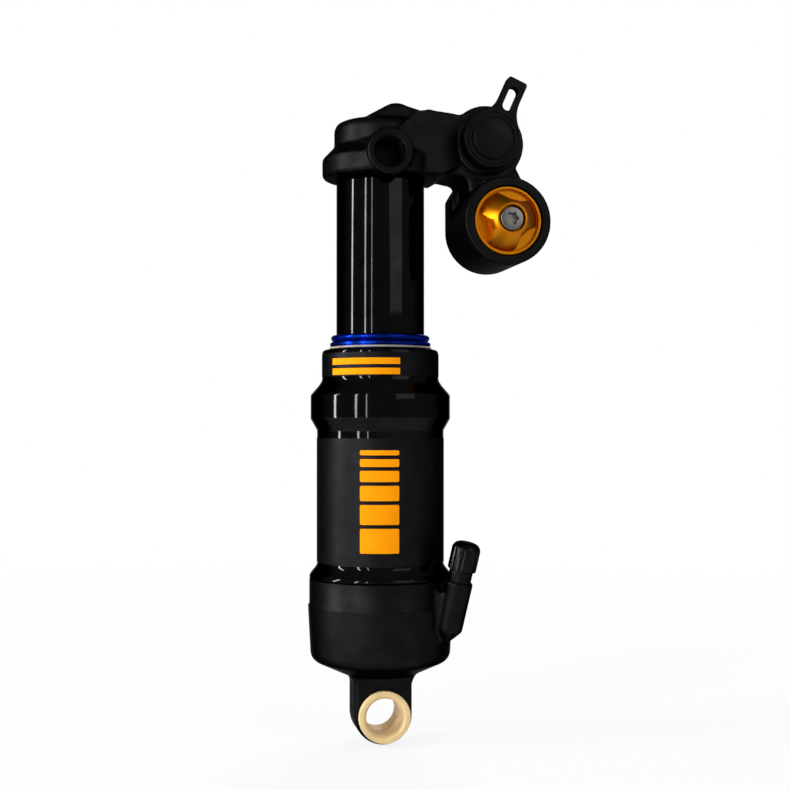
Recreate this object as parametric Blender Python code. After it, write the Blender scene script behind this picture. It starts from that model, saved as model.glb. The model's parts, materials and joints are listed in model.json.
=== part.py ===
"""Bicycle rear shock: air can, damper, trunnion head with piggyback reservoir, lever and dial.

The origin is the middle of the lower eyelet. +Z runs up the shaft to the trunnion axis, +Y runs along the
eyelet away from the viewer, and the reservoir lies on the +X side.
"""
import math

import bmesh
import bpy
from mathutils import Matrix, Vector

MM = 0.001

# Lengths that set the whole shock
STROKE = 50 * MM
DEAD_LENGTH = 85 * MM
EYE_TO_EYE = 2 * STROKE + DEAD_LENGTH
FULL_STROKE_GAP = 2 * MM

# Clearances
SEAT = 0.3 * MM
RUN = 0.3 * MM

# Points closer than this after a cut are merged
SLIVER = 0.005 * MM

# Edges sharper than this stay crisp
SHARP_EDGE = math.radians(30)

# Number of flats on round pieces, on the rings inside them and on small bars
ROUND = 28
RING_ROUND = 20
SMALL_ROUND = 16
PASSAGE_ROUND = 9

# Damper tubes and rod
TUBE_RADIUS = 14.75 * MM
TUBE_WALL = 1.0 * MM
OIL_GAP = 0.5 * MM
INNER_TUBE_WALL = 0.8 * MM
ROD_RADIUS = 4.5 * MM
ROD_SHANK_RADIUS = 3.0 * MM

# Air can, heights down from its top edge
AIR_CHAMBER_GAP = 3.45 * MM
CAN_WALL = 3.05 * MM
NECK_PACK_WALL = 2.65 * MM
NECK_WALL = 2.1 * MM
NECK_HEIGHT = 10.3 * MM
NECK_BEVEL = 0.5 * MM
SHOULDER_HEIGHT = 4.8 * MM
COLLAR_PROUD = 2.15 * MM
COLLAR_HEIGHT = 7.9 * MM
COLLAR_TAPER = 3.8 * MM
NECK_LIP = 0.9 * MM
NECK_STOP_DEPTH = 21 * MM
NECK_STOP_HEIGHT = 3 * MM
FLARE_PROUD = 2.65 * MM
FLARE_HEIGHT = 4.9 * MM
SPIGOT_LENGTH = 15 * MM
SPIGOT_WALL = 2.0 * MM
SEAL_SECTION = 2.2 * MM
CAN_SEAL_DEPTH = 1.1 * MM

# Seals and bushes in the can's neck
GUIDE_BUSH_HEIGHT = 8 * MM
AIR_SEAL_HEIGHT = 4 * MM
WIPER_FLANGE_HEIGHT = 1.5 * MM
WIPER_FLANGE_INSET = 0.6 * MM
WIPER_LIP_HEIGHT = 3.0 * MM
WIPER_LIP_WALL = 1.4 * MM
RETAINING_RING_HEIGHT = 1.1 * MM
RETAINING_RING_OVERLAP = 0.4 * MM

# Lower end cap, heights up from the eyelet's middle
CAP_WALL = 3.9 * MM
CAP_STEP = 0.3 * MM
CAP_BOTTOM = 13 * MM
CAP_FLOOR_RADIUS = 11.2 * MM
CAP_TAPER = 1.0 * MM
CAP_CORNER_RADIUS = 3.6 * MM
CAP_CORNER_HEIGHT = 7.9 * MM
CAP_STEP_HEIGHT = 36.5 * MM
CAP_TOP = 45.4 * MM
CUP_FLOOR = 24 * MM
ROD_SOCKET_DEPTH = 6 * MM
LUG_RADIUS = 9.5 * MM
LUG_THICKNESS = 14.6 * MM
LUG_EDGE = 0.8 * MM
LUG_ROOT_FLARE = 0.8 * MM

# Lower eyelet bush, two flanged halves
BUSH_BORE_RADIUS = 6.1 * MM
BUSH_WALL = 1.4 * MM
BUSH_FLANGE_RADIUS = 8.65 * MM
BUSH_FLANGE_THICKNESS = 1.9 * MM
BUSH_MOUTH_CHAMFER = 0.6 * MM

# Air valve, lengths along its own axis from the top of its boss
VALVE_AZIMUTH = math.radians(-40)
VALVE_TILT = math.radians(14)
VALVE_BOSS_TOP = 44.6 * MM
VALVE_STANDOFF = 5.0 * MM
VALVE_BOSS_RADIUS = 4.5 * MM
VALVE_BOSS_LENGTH = 17 * MM
VALVE_WEB_REACH = 15 * MM
VALVE_WEB_SPREAD = 7.4 * MM
VALVE_WEB_INSET = 0.25 * MM
VALVE_WEB_DROP = 3.2 * MM
VALVE_SHANK_RADIUS = 3.0 * MM
VALVE_SHANK_LENGTH = 7 * MM
VALVE_THREAD_RADIUS = 3.85 * MM
VALVE_THREAD_LENGTH = 10.8 * MM
VALVE_BORE_RADIUS = 1.9 * MM
VALVE_FLOOR = 2 * MM
VALVE_PIN_RADIUS = 1.0 * MM
VALVE_PIN_TRAVEL = 1.2 * MM
VALVE_PIN_HEAD = 0.55 * MM
AIR_PASSAGE_RADIUS = 1.3 * MM
CROSS_PASSAGE_RADIUS = 1.04 * MM
VALVE_CAP_RADIUS = 4.7 * MM
VALVE_CAP_RIBS = 18
VALVE_CAP_RIB_DEPTH = 0.22 * MM
VALVE_CAP_LIFT = 3.4 * MM
VALVE_CAP_TOP_WALL = 1.6 * MM
VALVE_CAP_SEAL_HEIGHT = 1.2 * MM

# Air piston on the foot of the damper tube
AIR_PISTON_HEIGHT = 10 * MM
AIR_PISTON_RUN = 0.55 * MM
RING_PROUD = 0.25 * MM
AIR_SEAL_GROOVE_HEIGHT = 2.6 * MM
AIR_SEAL_GROOVE_DEPTH = 1.4 * MM
AIR_BAND_HEIGHT = 2.0 * MM
AIR_BAND_DEPTH = 0.9 * MM
TOP_OUT_BUMPER_HEIGHT = 0.9 * MM
BOTTOM_OUT_BUMPER_RADIUS = 10.5 * MM
BOTTOM_OUT_GAP = 0.5 * MM
BUMPER_EDGE = 1.0 * MM
TUBE_FOOT = 2 * MM

# Rod guide, piston and shims
ROD_GUIDE_HEIGHT = 9.7 * MM
ROD_SEAL_HEIGHT = 2.6 * MM
ROD_SEAL_RADIUS = 7.7 * MM
TOP_OUT_GAP = 1.6 * MM
PISTON_HEIGHT = 8 * MM
PISTON_RUN = 0.55 * MM
PISTON_BAND_HEIGHT = 3 * MM
PISTON_BAND_DEPTH = 0.9 * MM
SHIM_THICKNESS = 0.4 * MM
COMPRESSION_SHIM_RADII = (9.0 * MM, 7.5 * MM, 6.0 * MM)
REBOUND_SHIM_RADII = (7.0 * MM, 9.0 * MM)
NUT_ACROSS_CORNERS = 10 * MM
NUT_HEIGHT = 3 * MM
PISTON_PORT_RADIUS = 1.1 * MM
PISTON_PORT_CIRCLE = 6.8 * MM
PISTON_PORTS = 6

# Head, heights measured from the trunnion axis
COLLAR_DROP = 6.2 * MM
HEAD_COLLAR_WALL = 4.45 * MM
HEAD_COLLAR_HEIGHT = 7.2 * MM
HEAD_CROWN_WALL = 0.65 * MM
HEAD_SHOULDER = 3.0 * MM
HEAD_CROWN_TOP = 12.4 * MM
HEAD_EDGE = 0.8 * MM
TUBE_ENTRY = 0.7 * MM
HEAD_SPIGOT_LENGTH = 12 * MM
HEAD_SEAL_HEIGHT = 2.2 * MM
HEAD_SEAL_DEPTH = 1.05 * MM
HEAD_SEAL_PROUD = 0.05 * MM
TRUNNION_WIDTH = 40 * MM
TRUNNION_RADIUS = 7.7 * MM
TRUNNION_THREAD_RADIUS = 4.9 * MM
TRUNNION_THREAD_DEPTH = 11 * MM
TRUNNION_CHAMFER = 0.6 * MM
ARM_THICKNESS = 22 * MM
ARM_EDGE = 2.0 * MM
RIDGE_HEIGHT = 17.9 * MM
RIDGE_OFFSET = 4.2 * MM
RIDGE_RADIUS = 7.7 * MM
ARM_DIP_START = 13.5 * MM
ARM_DIP_END = 24.4 * MM
ARM_DIP_HEIGHT = 14.7 * MM
ARM_FILLET = 3.4 * MM
WEB_HALF_WIDTH = 11.39 * MM
ARM_UNDERSIDE = 6.4 * MM
OIL_BORE_RADIUS = 2.0 * MM
OIL_WAY_RADIUS = 1.8 * MM
OIL_PORT_RADIUS = 1.32 * MM

# Compression lever, beside and above the trunnion axis
LEVER_OFFSET = 34 * MM
LEVER_HEIGHT = 5.2 * MM
LEVER_BOSS_RADIUS = 12.4 * MM
LEVER_BOSS_PROUD = 0.6 * MM
LEVER_STEP_RADIUS = 10.0 * MM
LEVER_STEP_HEIGHT = 1.5 * MM
LEVER_HUB_RADIUS = 9.5 * MM
LEVER_RIM_RADIUS = 6.6 * MM
LEVER_RIM_HEIGHT = 0.8 * MM
LEVER_THICKNESS = 6.5 * MM
LEVER_LENGTH = 21.2 * MM
LEVER_ANGLE = math.radians(66)
LEVER_TAB_WIDTH = 6.8 * MM
LEVER_TAB_CORNER = 1.2 * MM
LEVER_TAB_LENGTH = 9.2 * MM
LEVER_TAB_RELIEF = 2.8 * MM
LEVER_WAIST_WIDTH = 7.4 * MM
LEVER_FLANK_PLACE = 7.9 * MM
LEVER_FLANK_WIDTH = 10.6 * MM
LEVER_SLOT_WIDTH = 3.4 * MM
LEVER_SLOT_LENGTH = 8.4 * MM
LEVER_SLOT_END = 2.6 * MM
LEVER_EDGE = 0.5 * MM
SPINDLE_RADIUS = 3.6 * MM
SPINDLE_DEPTH = 16 * MM
SPINDLE_GROOVE_HEIGHT = 1.6 * MM
SPINDLE_GROOVE_DEPTH = 0.9 * MM
SPINDLE_GROOVE_PLACE = 3 * MM

# Reservoir, its axis beside and below the trunnion axis, distances along it from the shaft's middle plane
RESERVOIR_OFFSET = 39.4 * MM
RESERVOIR_DROP = 21.4 * MM
RESERVOIR_RADIUS = 14.1 * MM
RESERVOIR_BORE_RADIUS = 10.8 * MM
RESERVOIR_FRONT = 19 * MM
RESERVOIR_BACK = 16 * MM
DIAL_POCKET_RADIUS = 11.7 * MM
DIAL_POCKET_DEPTH = 6 * MM
RESERVOIR_BACK_TAPER = 4 * MM
RESERVOIR_BACK_INSET = 1.2 * MM
ADJUSTER_PLUG_HEIGHT = 5 * MM
PORT_SPACE = 3.3 * MM
FLOATING_PISTON_HEIGHT = 5.5 * MM
FLOATING_PISTON_TRAVEL = STROKE * (ROD_RADIUS / RESERVOIR_BORE_RADIUS) ** 2
GAS_SPACE = 1.0 * MM
PISTON_RING_HEIGHT = 1.9 * MM
PISTON_RING_DEPTH = 1.1 * MM
GAS_SCREW_RADIUS = 2.0 * MM
GAS_SCREW_HEAD_RADIUS = 3.4 * MM
GAS_SCREW_HEAD_HEIGHT = 1.5 * MM
GAS_SCREW_LENGTH = 3.4 * MM
GAS_SCREW_HEX_RADIUS = 1.6 * MM
GAS_SCREW_HEX_DEPTH = 1.05 * MM

# Rebound dial
DIAL_RADIUS = 11.2 * MM
DIAL_RECESS = 0.4 * MM
DIAL_RIM_WIDTH = 0.9 * MM
DIAL_RIM_GROOVE = 0.5 * MM
DIAL_DISH_DEPTH = 1.5 * MM
DIAL_HUB_RADIUS = 5.0 * MM
DIAL_POCKETS = 3
DIAL_LENS_ANGLE = math.radians(77)
DIAL_LENS_HALF_SPAN = math.radians(33)
DIAL_LENS_INNER_RADIUS = 6.4 * MM
DIAL_LENS_FLOOR = 0.2 * MM
DIAL_FACE_DROP = 0.8 * MM
DIAL_CONE_HEIGHT = 5.6 * MM
DIAL_SCREW_RADIUS = 3.85 * MM
DIAL_SCREW_HEAD = 2.4 * MM
DIAL_SCREW_SHANK_RADIUS = 1.9 * MM
DIAL_SCREW_SHANK = 3.6 * MM
SOCKET_RADIUS = 1.75 * MM
SOCKET_LOBE = 0.28 * MM
SOCKET_LOBES = 6
SOCKET_DEPTH = 1.4 * MM
ADJUSTER_SPINDLE_RADIUS = 3.4 * MM
ADJUSTER_SPINDLE_BORE_DEPTH = 4.2 * MM

# Radii that follow the tube, each by its own wall or clearance
CAN_BORE_RADIUS = TUBE_RADIUS + AIR_CHAMBER_GAP
CAN_RADIUS = CAN_BORE_RADIUS + CAN_WALL
COLLAR_RADIUS = CAN_RADIUS + COLLAR_PROUD
FLARE_RADIUS = CAN_RADIUS + FLARE_PROUD
NECK_POCKET_RADIUS = TUBE_RADIUS + NECK_PACK_WALL
NECK_RADIUS = NECK_POCKET_RADIUS + NECK_WALL
WIPER_FLANGE_RADIUS = NECK_POCKET_RADIUS - WIPER_FLANGE_INSET
SPIGOT_RADIUS = CAN_BORE_RADIUS + SPIGOT_WALL
CUP_RADIUS = SPIGOT_RADIUS + SEAT
CAP_RADIUS = CUP_RADIUS + CAP_WALL
VALVE_AXIS_OFFSET = CAP_RADIUS + VALVE_STANDOFF
HEAD_COLLAR_RADIUS = TUBE_RADIUS + HEAD_COLLAR_WALL
HEAD_CROWN_RADIUS = TUBE_RADIUS + HEAD_CROWN_WALL

# Heights worked out from the driving sizes
TUBE_BORE_RADIUS = TUBE_RADIUS - TUBE_WALL
INNER_TUBE_RADIUS = TUBE_BORE_RADIUS - OIL_GAP
INNER_TUBE_BORE = INNER_TUBE_RADIUS - INNER_TUBE_WALL
COLLAR_BOTTOM = EYE_TO_EYE - COLLAR_DROP
WIPER_TOP = COLLAR_BOTTOM - STROKE - FULL_STROKE_GAP
WIPER_FLANGE_TOP = WIPER_TOP - WIPER_LIP_HEIGHT
RETAINING_RING_TOP = WIPER_FLANGE_TOP - WIPER_FLANGE_HEIGHT
CAN_TOP = RETAINING_RING_TOP - RETAINING_RING_HEIGHT + RETAINING_RING_OVERLAP
NECK_BOTTOM = CAN_TOP - NECK_HEIGHT
COLLAR_TOP = NECK_BOTTOM - SHOULDER_HEIGHT
CAN_COLLAR_BOTTOM = COLLAR_TOP - COLLAR_HEIGHT
FLARE_BOTTOM = CAP_TOP + SEAT
SPIGOT_BOTTOM = FLARE_BOTTOM - SPIGOT_LENGTH
POCKET_FLOOR = CAN_TOP - NECK_STOP_DEPTH + NECK_STOP_HEIGHT
NECK_STOP = CAN_TOP - NECK_STOP_DEPTH
AIR_PISTON_TOP = NECK_STOP - TOP_OUT_BUMPER_HEIGHT - 2 * SEAT
AIR_PISTON_BOTTOM = AIR_PISTON_TOP - AIR_PISTON_HEIGHT
TUBE_BOTTOM = AIR_PISTON_BOTTOM - TUBE_FOOT
TUBE_TOP = COLLAR_BOTTOM + TUBE_ENTRY - SEAT
ROD_GUIDE_BOTTOM = TUBE_BOTTOM + SEAT
ROD_GUIDE_TOP = ROD_GUIDE_BOTTOM + ROD_GUIDE_HEIGHT
SPIGOT_FOOT = COLLAR_BOTTOM - HEAD_SPIGOT_LENGTH
ROD_SHOULDER = ROD_GUIDE_TOP + TOP_OUT_GAP
PISTON_BOTTOM = ROD_SHOULDER + len(REBOUND_SHIM_RADII) * (SHIM_THICKNESS + SEAT) + SEAT
PISTON_TOP = PISTON_BOTTOM + PISTON_HEIGHT
NUT_BOTTOM = PISTON_TOP + len(COMPRESSION_SHIM_RADII) * (SHIM_THICKNESS + SEAT) + SEAT
ARM_HALF = ARM_THICKNESS / 2
LEVER_BOSS_HALF = ARM_HALF + LEVER_BOSS_PROUD
LEVER_BACK = LEVER_BOSS_HALF + LEVER_STEP_HEIGHT + RUN
DIAL_POCKET_FLOOR = RESERVOIR_FRONT - DIAL_POCKET_DEPTH
PLUG_FRONT = DIAL_POCKET_FLOOR - SEAT
PLUG_BACK = PLUG_FRONT - ADJUSTER_PLUG_HEIGHT
FLOATING_FRONT = PLUG_BACK - PORT_SPACE
FLOATING_BACK = FLOATING_FRONT - FLOATING_PISTON_HEIGHT
RESERVOIR_CAP_FRONT = FLOATING_BACK - FLOATING_PISTON_TRAVEL - GAS_SPACE
RESERVOIR_CAP_BACK = -RESERVOIR_BACK + SEAT


def clear_scene():
    """Start from an empty scene."""
    for thing in list(bpy.data.objects):
        bpy.data.objects.remove(thing, do_unlink=True)


def frame(name, place=(0, 0, 0), turn=(0, 0, 0), parent=None):
    """An empty on an axis. Pieces are built around its local Z."""
    empty = bpy.data.objects.new(name, None)
    bpy.context.scene.collection.objects.link(empty)
    empty.location = place
    empty.rotation_euler = turn
    empty.parent = parent
    return empty


def finish(piece, colour, roughness, metallic):
    """Give a piece its own material."""
    material = bpy.data.materials.new(piece.name + "_finish")
    material.use_nodes = True
    shader = material.node_tree.nodes["Principled BSDF"]
    shader.inputs["Base Color"].default_value = (*colour, 1)
    shader.inputs["Roughness"].default_value = roughness
    shader.inputs["Metallic"].default_value = metallic
    piece.data.materials.clear()
    piece.data.materials.append(material)
    return piece


BLACK_ANODISED = ((0.012, 0.012, 0.013), 0.45, 0.6)
BLACK_GLOSS = ((0.008, 0.008, 0.009), 0.12, 0.5)
BLACK_PLASTIC = ((0.015, 0.015, 0.016), 0.5, 0.0)
BLACK_RUBBER = ((0.02, 0.02, 0.02), 0.8, 0.0)
BLUE_SEAL = ((0.01, 0.05, 0.35), 0.45, 0.0)
GOLD_ANODISED = ((0.8, 0.36, 0.03), 0.3, 0.9)
CREAM_POLYMER = ((0.75, 0.62, 0.4), 0.5, 0.0)
PALE_RING = ((0.7, 0.68, 0.6), 0.35, 0.5)
STEEL = ((0.6, 0.6, 0.6), 0.25, 1.0)
ALUMINIUM = ((0.7, 0.7, 0.72), 0.35, 1.0)
BRASS = ((0.6, 0.42, 0.15), 0.3, 1.0)


def to_object(name, shape, parent):
    """Turn a bmesh into a closed, outward-facing, smooth-shaded object in its parent's frame."""
    bmesh.ops.remove_doubles(shape, verts=shape.verts, dist=1e-7)
    bmesh.ops.dissolve_degenerate(shape, edges=shape.edges, dist=1e-7)
    bmesh.ops.recalc_face_normals(shape, faces=shape.faces)
    mesh = bpy.data.meshes.new(name)
    shape.to_mesh(mesh)
    shape.free()
    mesh.shade_smooth()
    mesh.set_sharp_from_angle(angle=SHARP_EDGE)
    piece = bpy.data.objects.new(name, mesh)
    bpy.context.scene.collection.objects.link(piece)
    piece.parent = parent
    return piece


def turned(name, profile, parent=None, flats=ROUND):
    """Spin a profile of (radius, height) points about local Z. A profile off the axis is closed first."""
    shape = bmesh.new()
    points = [shape.verts.new((radius, 0, height)) for radius, height in profile]
    edges = [shape.edges.new(pair) for pair in zip(points, points[1:])]
    if all(radius > 0 for radius, _ in profile):
        edges.append(shape.edges.new((points[-1], points[0])))
    bmesh.ops.spin(shape, geom=points + edges, cent=(0, 0, 0), axis=(0, 0, 1), angle=2 * math.pi,
                   steps=flats, use_merge=True)
    return to_object(name, shape, parent)


def ring(name, inner, outer, low, high, parent=None, flats=RING_ROUND, edge=0.0):
    """A washer-shaped piece, with its four corners cut by edge."""
    if edge == 0:
        profile = [(inner, low), (outer, low), (outer, high), (inner, high)]
    else:
        profile = [(inner + edge, low), (outer - edge, low), (outer, low + edge), (outer, high - edge),
                   (outer - edge, high), (inner + edge, high), (inner, high - edge), (inner, low + edge)]
    return turned(name, profile, parent, flats)


def extruded(name, outline, low, high, parent=None, edge=0.0):
    """Lift a flat outline along local Z, with its rims cut by edge."""
    shape = bmesh.new()
    floor = shape.faces.new([shape.verts.new((x, y, low)) for x, y in outline])
    lifted = bmesh.ops.extrude_face_region(shape, geom=[floor])["geom"]
    roof = [vert for vert in lifted if isinstance(vert, bmesh.types.BMVert)]
    bmesh.ops.translate(shape, verts=roof, vec=(0, 0, high - low))
    if edge > 0:
        flat = [line for line in shape.edges if abs(line.verts[0].co.z - line.verts[1].co.z) < 1e-9]
        bmesh.ops.bevel(shape, geom=flat, offset=edge, offset_type="OFFSET", affect="EDGES", segments=1,
                        profile=0.5, material=-1)
    return to_object(name, shape, parent)


def rod_between(name, start, end, radius, flats=SMALL_ROUND, parent=None):
    """A plain round bar between two points, used for drillings."""
    start = Vector(start)
    way = Vector(end) - start
    shape = bmesh.new()
    bmesh.ops.create_cone(shape, cap_ends=True, segments=flats, radius1=radius, radius2=radius,
                          depth=way.length)
    turn = Vector((0, 0, 1)).rotation_difference(way).to_matrix().to_4x4()
    bmesh.ops.transform(shape, matrix=Matrix.Translation(start + way / 2) @ turn, verts=shape.verts)
    return to_object(name, shape, parent)


def combine(piece, tool, operation):
    """Join a tool to a piece or cut it away, and keep only the result."""
    step = piece.modifiers.new(operation, "BOOLEAN")
    step.operation = operation
    step.solver = "EXACT"
    step.object = tool
    bpy.context.view_layer.update()
    shaped = piece.evaluated_get(bpy.context.evaluated_depsgraph_get())
    mesh = bpy.data.meshes.new_from_object(shaped)
    piece.modifiers.clear()
    piece.data = mesh
    bpy.data.objects.remove(tool, do_unlink=True)
    shape = bmesh.new()
    shape.from_mesh(mesh)
    bmesh.ops.remove_doubles(shape, verts=shape.verts, dist=SLIVER)
    bmesh.ops.dissolve_degenerate(shape, edges=shape.edges, dist=SLIVER)
    shape.to_mesh(mesh)
    shape.free()
    mesh.shade_smooth()
    mesh.set_sharp_from_angle(angle=SHARP_EDGE)
    return piece


def join(piece, tool):
    return combine(piece, tool, "UNION")


def cut(piece, tool):
    return combine(piece, tool, "DIFFERENCE")


def arc(x, y, radius, start, end, count):
    """Points on an arc, ends included, angles in degrees."""
    angles = [math.radians(start + (end - start) * step / count) for step in range(count + 1)]
    return [(x + radius * math.cos(angle), y + radius * math.sin(angle)) for angle in angles]


def grooved(low, high, outer, groove_low, groove_high, depth):
    """Outer side of a turned piece, bottom to top, with one groove for a ring."""
    return [(outer, low), (outer, groove_low), (outer - depth, groove_low), (outer - depth, groove_high),
            (outer, groove_high), (outer, high)]


def lower_end_cap():
    """Cup that closes the can, with the eyelet lug below it and the air valve's boss on its side."""
    corner_height = CAP_BOTTOM + CAP_CORNER_HEIGHT
    corner = arc(CAP_RADIUS - CAP_TAPER - CAP_CORNER_RADIUS, corner_height, CAP_CORNER_RADIUS, -60, 0, 4)
    step_radius = CAP_RADIUS - CAP_STEP
    profile = [(0, CAP_BOTTOM), (CAP_FLOOR_RADIUS, CAP_BOTTOM)] + corner + [
        (CAP_RADIUS, CAP_STEP_HEIGHT), (step_radius, CAP_STEP_HEIGHT + CAP_STEP),
        (step_radius, CAP_TOP - CAP_STEP), (step_radius - CAP_STEP, CAP_TOP), (0, CAP_TOP)]
    cap = turned("lower_end_cap", profile)

    lug_top = corner_height
    outline = arc(0, 0, LUG_RADIUS, 180, 360, 16)
    root = LUG_RADIUS + LUG_ROOT_FLARE
    root_height = CAP_BOTTOM + LUG_EDGE
    outline += [(LUG_RADIUS, CAP_BOTTOM / 2), (root, root_height), (root, lug_top), (-root, lug_top),
                (-root, root_height), (-LUG_RADIUS, CAP_BOTTOM / 2)]
    join(cap, extruded("lug", outline, -LUG_THICKNESS / 2, LUG_THICKNESS / 2, EYE, LUG_EDGE))

    boss = turned("boss", [(0, -VALVE_BOSS_LENGTH), (VALVE_BOSS_RADIUS, -VALVE_BOSS_LENGTH),
                           (VALVE_BOSS_RADIUS, -CAP_STEP), (VALVE_BOSS_RADIUS - CAP_STEP, 0), (0, 0)],
                  VALVE, SMALL_ROUND)
    join(cap, boss)
    near = VALVE_BOSS_RADIUS - VALVE_WEB_INSET
    far = near + VALVE_WEB_SPREAD
    web = [(0, -near), (0, near), (-VALVE_WEB_REACH, far), (-VALVE_WEB_REACH, -far)]
    join(cap, extruded("web", web, VALVE_WEB_INSET - VALVE_BOSS_LENGTH, -VALVE_WEB_DROP, VALVE))

    cup = turned("cup", [(0, CUP_FLOOR - ROD_SOCKET_DEPTH), (ROD_RADIUS + SEAT,
            CUP_FLOOR - ROD_SOCKET_DEPTH),
                         (ROD_RADIUS + SEAT, CUP_FLOOR), (CUP_RADIUS, CUP_FLOOR),
                         (CUP_RADIUS, CAP_TOP + SPIGOT_LENGTH), (0, CAP_TOP + SPIGOT_LENGTH)])
    cut(cap, cup)
    eye_radius = BUSH_BORE_RADIUS + BUSH_WALL + SEAT
    cut(cap, rod_between("eye", (0, -LUG_THICKNESS, 0), (0, LUG_THICKNESS, 0), eye_radius, ROUND))

    shank_floor = -VALVE_SHANK_LENGTH - SEAT
    shank = VALVE_SHANK_RADIUS + SEAT
    passage_height = SPIGOT_BOTTOM - 2 * CROSS_PASSAGE_RADIUS
    passage_depth = (passage_height - VALVE_BOSS_TOP) / math.cos(VALVE_TILT) - AIR_PASSAGE_RADIUS / 2
    cut(cap, turned("valve_bore", [(0, passage_depth), (AIR_PASSAGE_RADIUS, passage_depth),
                                   (AIR_PASSAGE_RADIUS, shank_floor), (shank, shank_floor),
                                   (shank, VALVE_BOSS_RADIUS), (0, VALVE_BOSS_RADIUS)], VALVE, SMALL_ROUND))
    outward = Vector((math.cos(VALVE_AZIMUTH), math.sin(VALVE_AZIMUTH), 0))
    axis_here = VALVE_AXIS_OFFSET - (VALVE_BOSS_TOP - passage_height) * math.tan(VALVE_TILT)
    lift = Vector((0, 0, passage_height))
    cut(cap, rod_between("cross_passage", outward * (CUP_RADIUS - VALVE_BOSS_RADIUS) + lift,
                         outward * axis_here + lift, CROSS_PASSAGE_RADIUS, PASSAGE_ROUND))
    return finish(cap, *BLACK_ANODISED)


def lower_bush(name, side):
    """One flanged half of the eyelet bush. Side is +1 in front and -1 behind."""
    face = LUG_THICKNESS / 2 + SEAT + BUSH_FLANGE_THICKNESS
    body = BUSH_BORE_RADIUS + BUSH_WALL
    mouth = BUSH_BORE_RADIUS + BUSH_MOUTH_CHAMFER
    profile = [(BUSH_BORE_RADIUS, SEAT / 2), (body, SEAT / 2), (body, face - BUSH_FLANGE_THICKNESS),
               (BUSH_FLANGE_RADIUS, face - BUSH_FLANGE_THICKNESS), (BUSH_FLANGE_RADIUS,
                       face - LUG_EDGE / 2),
               (BUSH_FLANGE_RADIUS - LUG_EDGE / 2, face), (mouth, face),
               (BUSH_BORE_RADIUS, face - BUSH_MOUTH_CHAMFER)]
    half = turned(name, [(radius, side * height) for radius, height in profile], EYE)
    return finish(half, *CREAM_POLYMER)


def air_can():
    """Outer sleeve that holds the air, from its neck down to the spigot inside the end cap."""
    flare = [(CAN_RADIUS + (FLARE_RADIUS - CAN_RADIUS) * (1 - math.cos(math.pi * step / 6)) / 2,
              FLARE_BOTTOM + FLARE_HEIGHT * (1 - step / 6)) for step in range(7)]
    profile = [(NECK_POCKET_RADIUS, CAN_TOP), (NECK_RADIUS - NECK_BEVEL, CAN_TOP),
               (NECK_RADIUS, CAN_TOP - NECK_BEVEL), (NECK_RADIUS, NECK_BOTTOM + NECK_BEVEL),
               (NECK_RADIUS + NECK_BEVEL, NECK_BOTTOM),
               (COLLAR_RADIUS - NECK_BEVEL, COLLAR_TOP + NECK_BEVEL), (COLLAR_RADIUS, COLLAR_TOP),
               (COLLAR_RADIUS, CAN_COLLAR_BOTTOM), (CAN_RADIUS, CAN_COLLAR_BOTTOM - COLLAR_TAPER)]
    profile += flare
    profile += [(SPIGOT_RADIUS, FLARE_BOTTOM), (SPIGOT_RADIUS, SPIGOT_BOTTOM + 2 * SEAL_SECTION),
                (SPIGOT_RADIUS - CAN_SEAL_DEPTH, SPIGOT_BOTTOM + 2 * SEAL_SECTION),
                (SPIGOT_RADIUS - CAN_SEAL_DEPTH, SPIGOT_BOTTOM + SEAL_SECTION),
                (SPIGOT_RADIUS, SPIGOT_BOTTOM + SEAL_SECTION), (SPIGOT_RADIUS, SPIGOT_BOTTOM),
                (CAN_BORE_RADIUS, SPIGOT_BOTTOM), (CAN_BORE_RADIUS, NECK_STOP),
                (TUBE_RADIUS + NECK_LIP, NECK_STOP), (TUBE_RADIUS + NECK_LIP, POCKET_FLOOR),
                (NECK_POCKET_RADIUS, POCKET_FLOOR)]
    return finish(turned("air_can", profile), *BLACK_GLOSS)


def can_seal():
    """O-ring that seals the can's spigot inside the end cap."""
    groove = SPIGOT_RADIUS - CAN_SEAL_DEPTH
    seal = ring("can_seal", groove + SEAT / 2, SPIGOT_RADIUS, SPIGOT_BOTTOM + SEAL_SECTION + SEAT,
                SPIGOT_BOTTOM + 2 * SEAL_SECTION - SEAT, flats=ROUND)
    return finish(seal, *BLACK_RUBBER)


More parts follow.
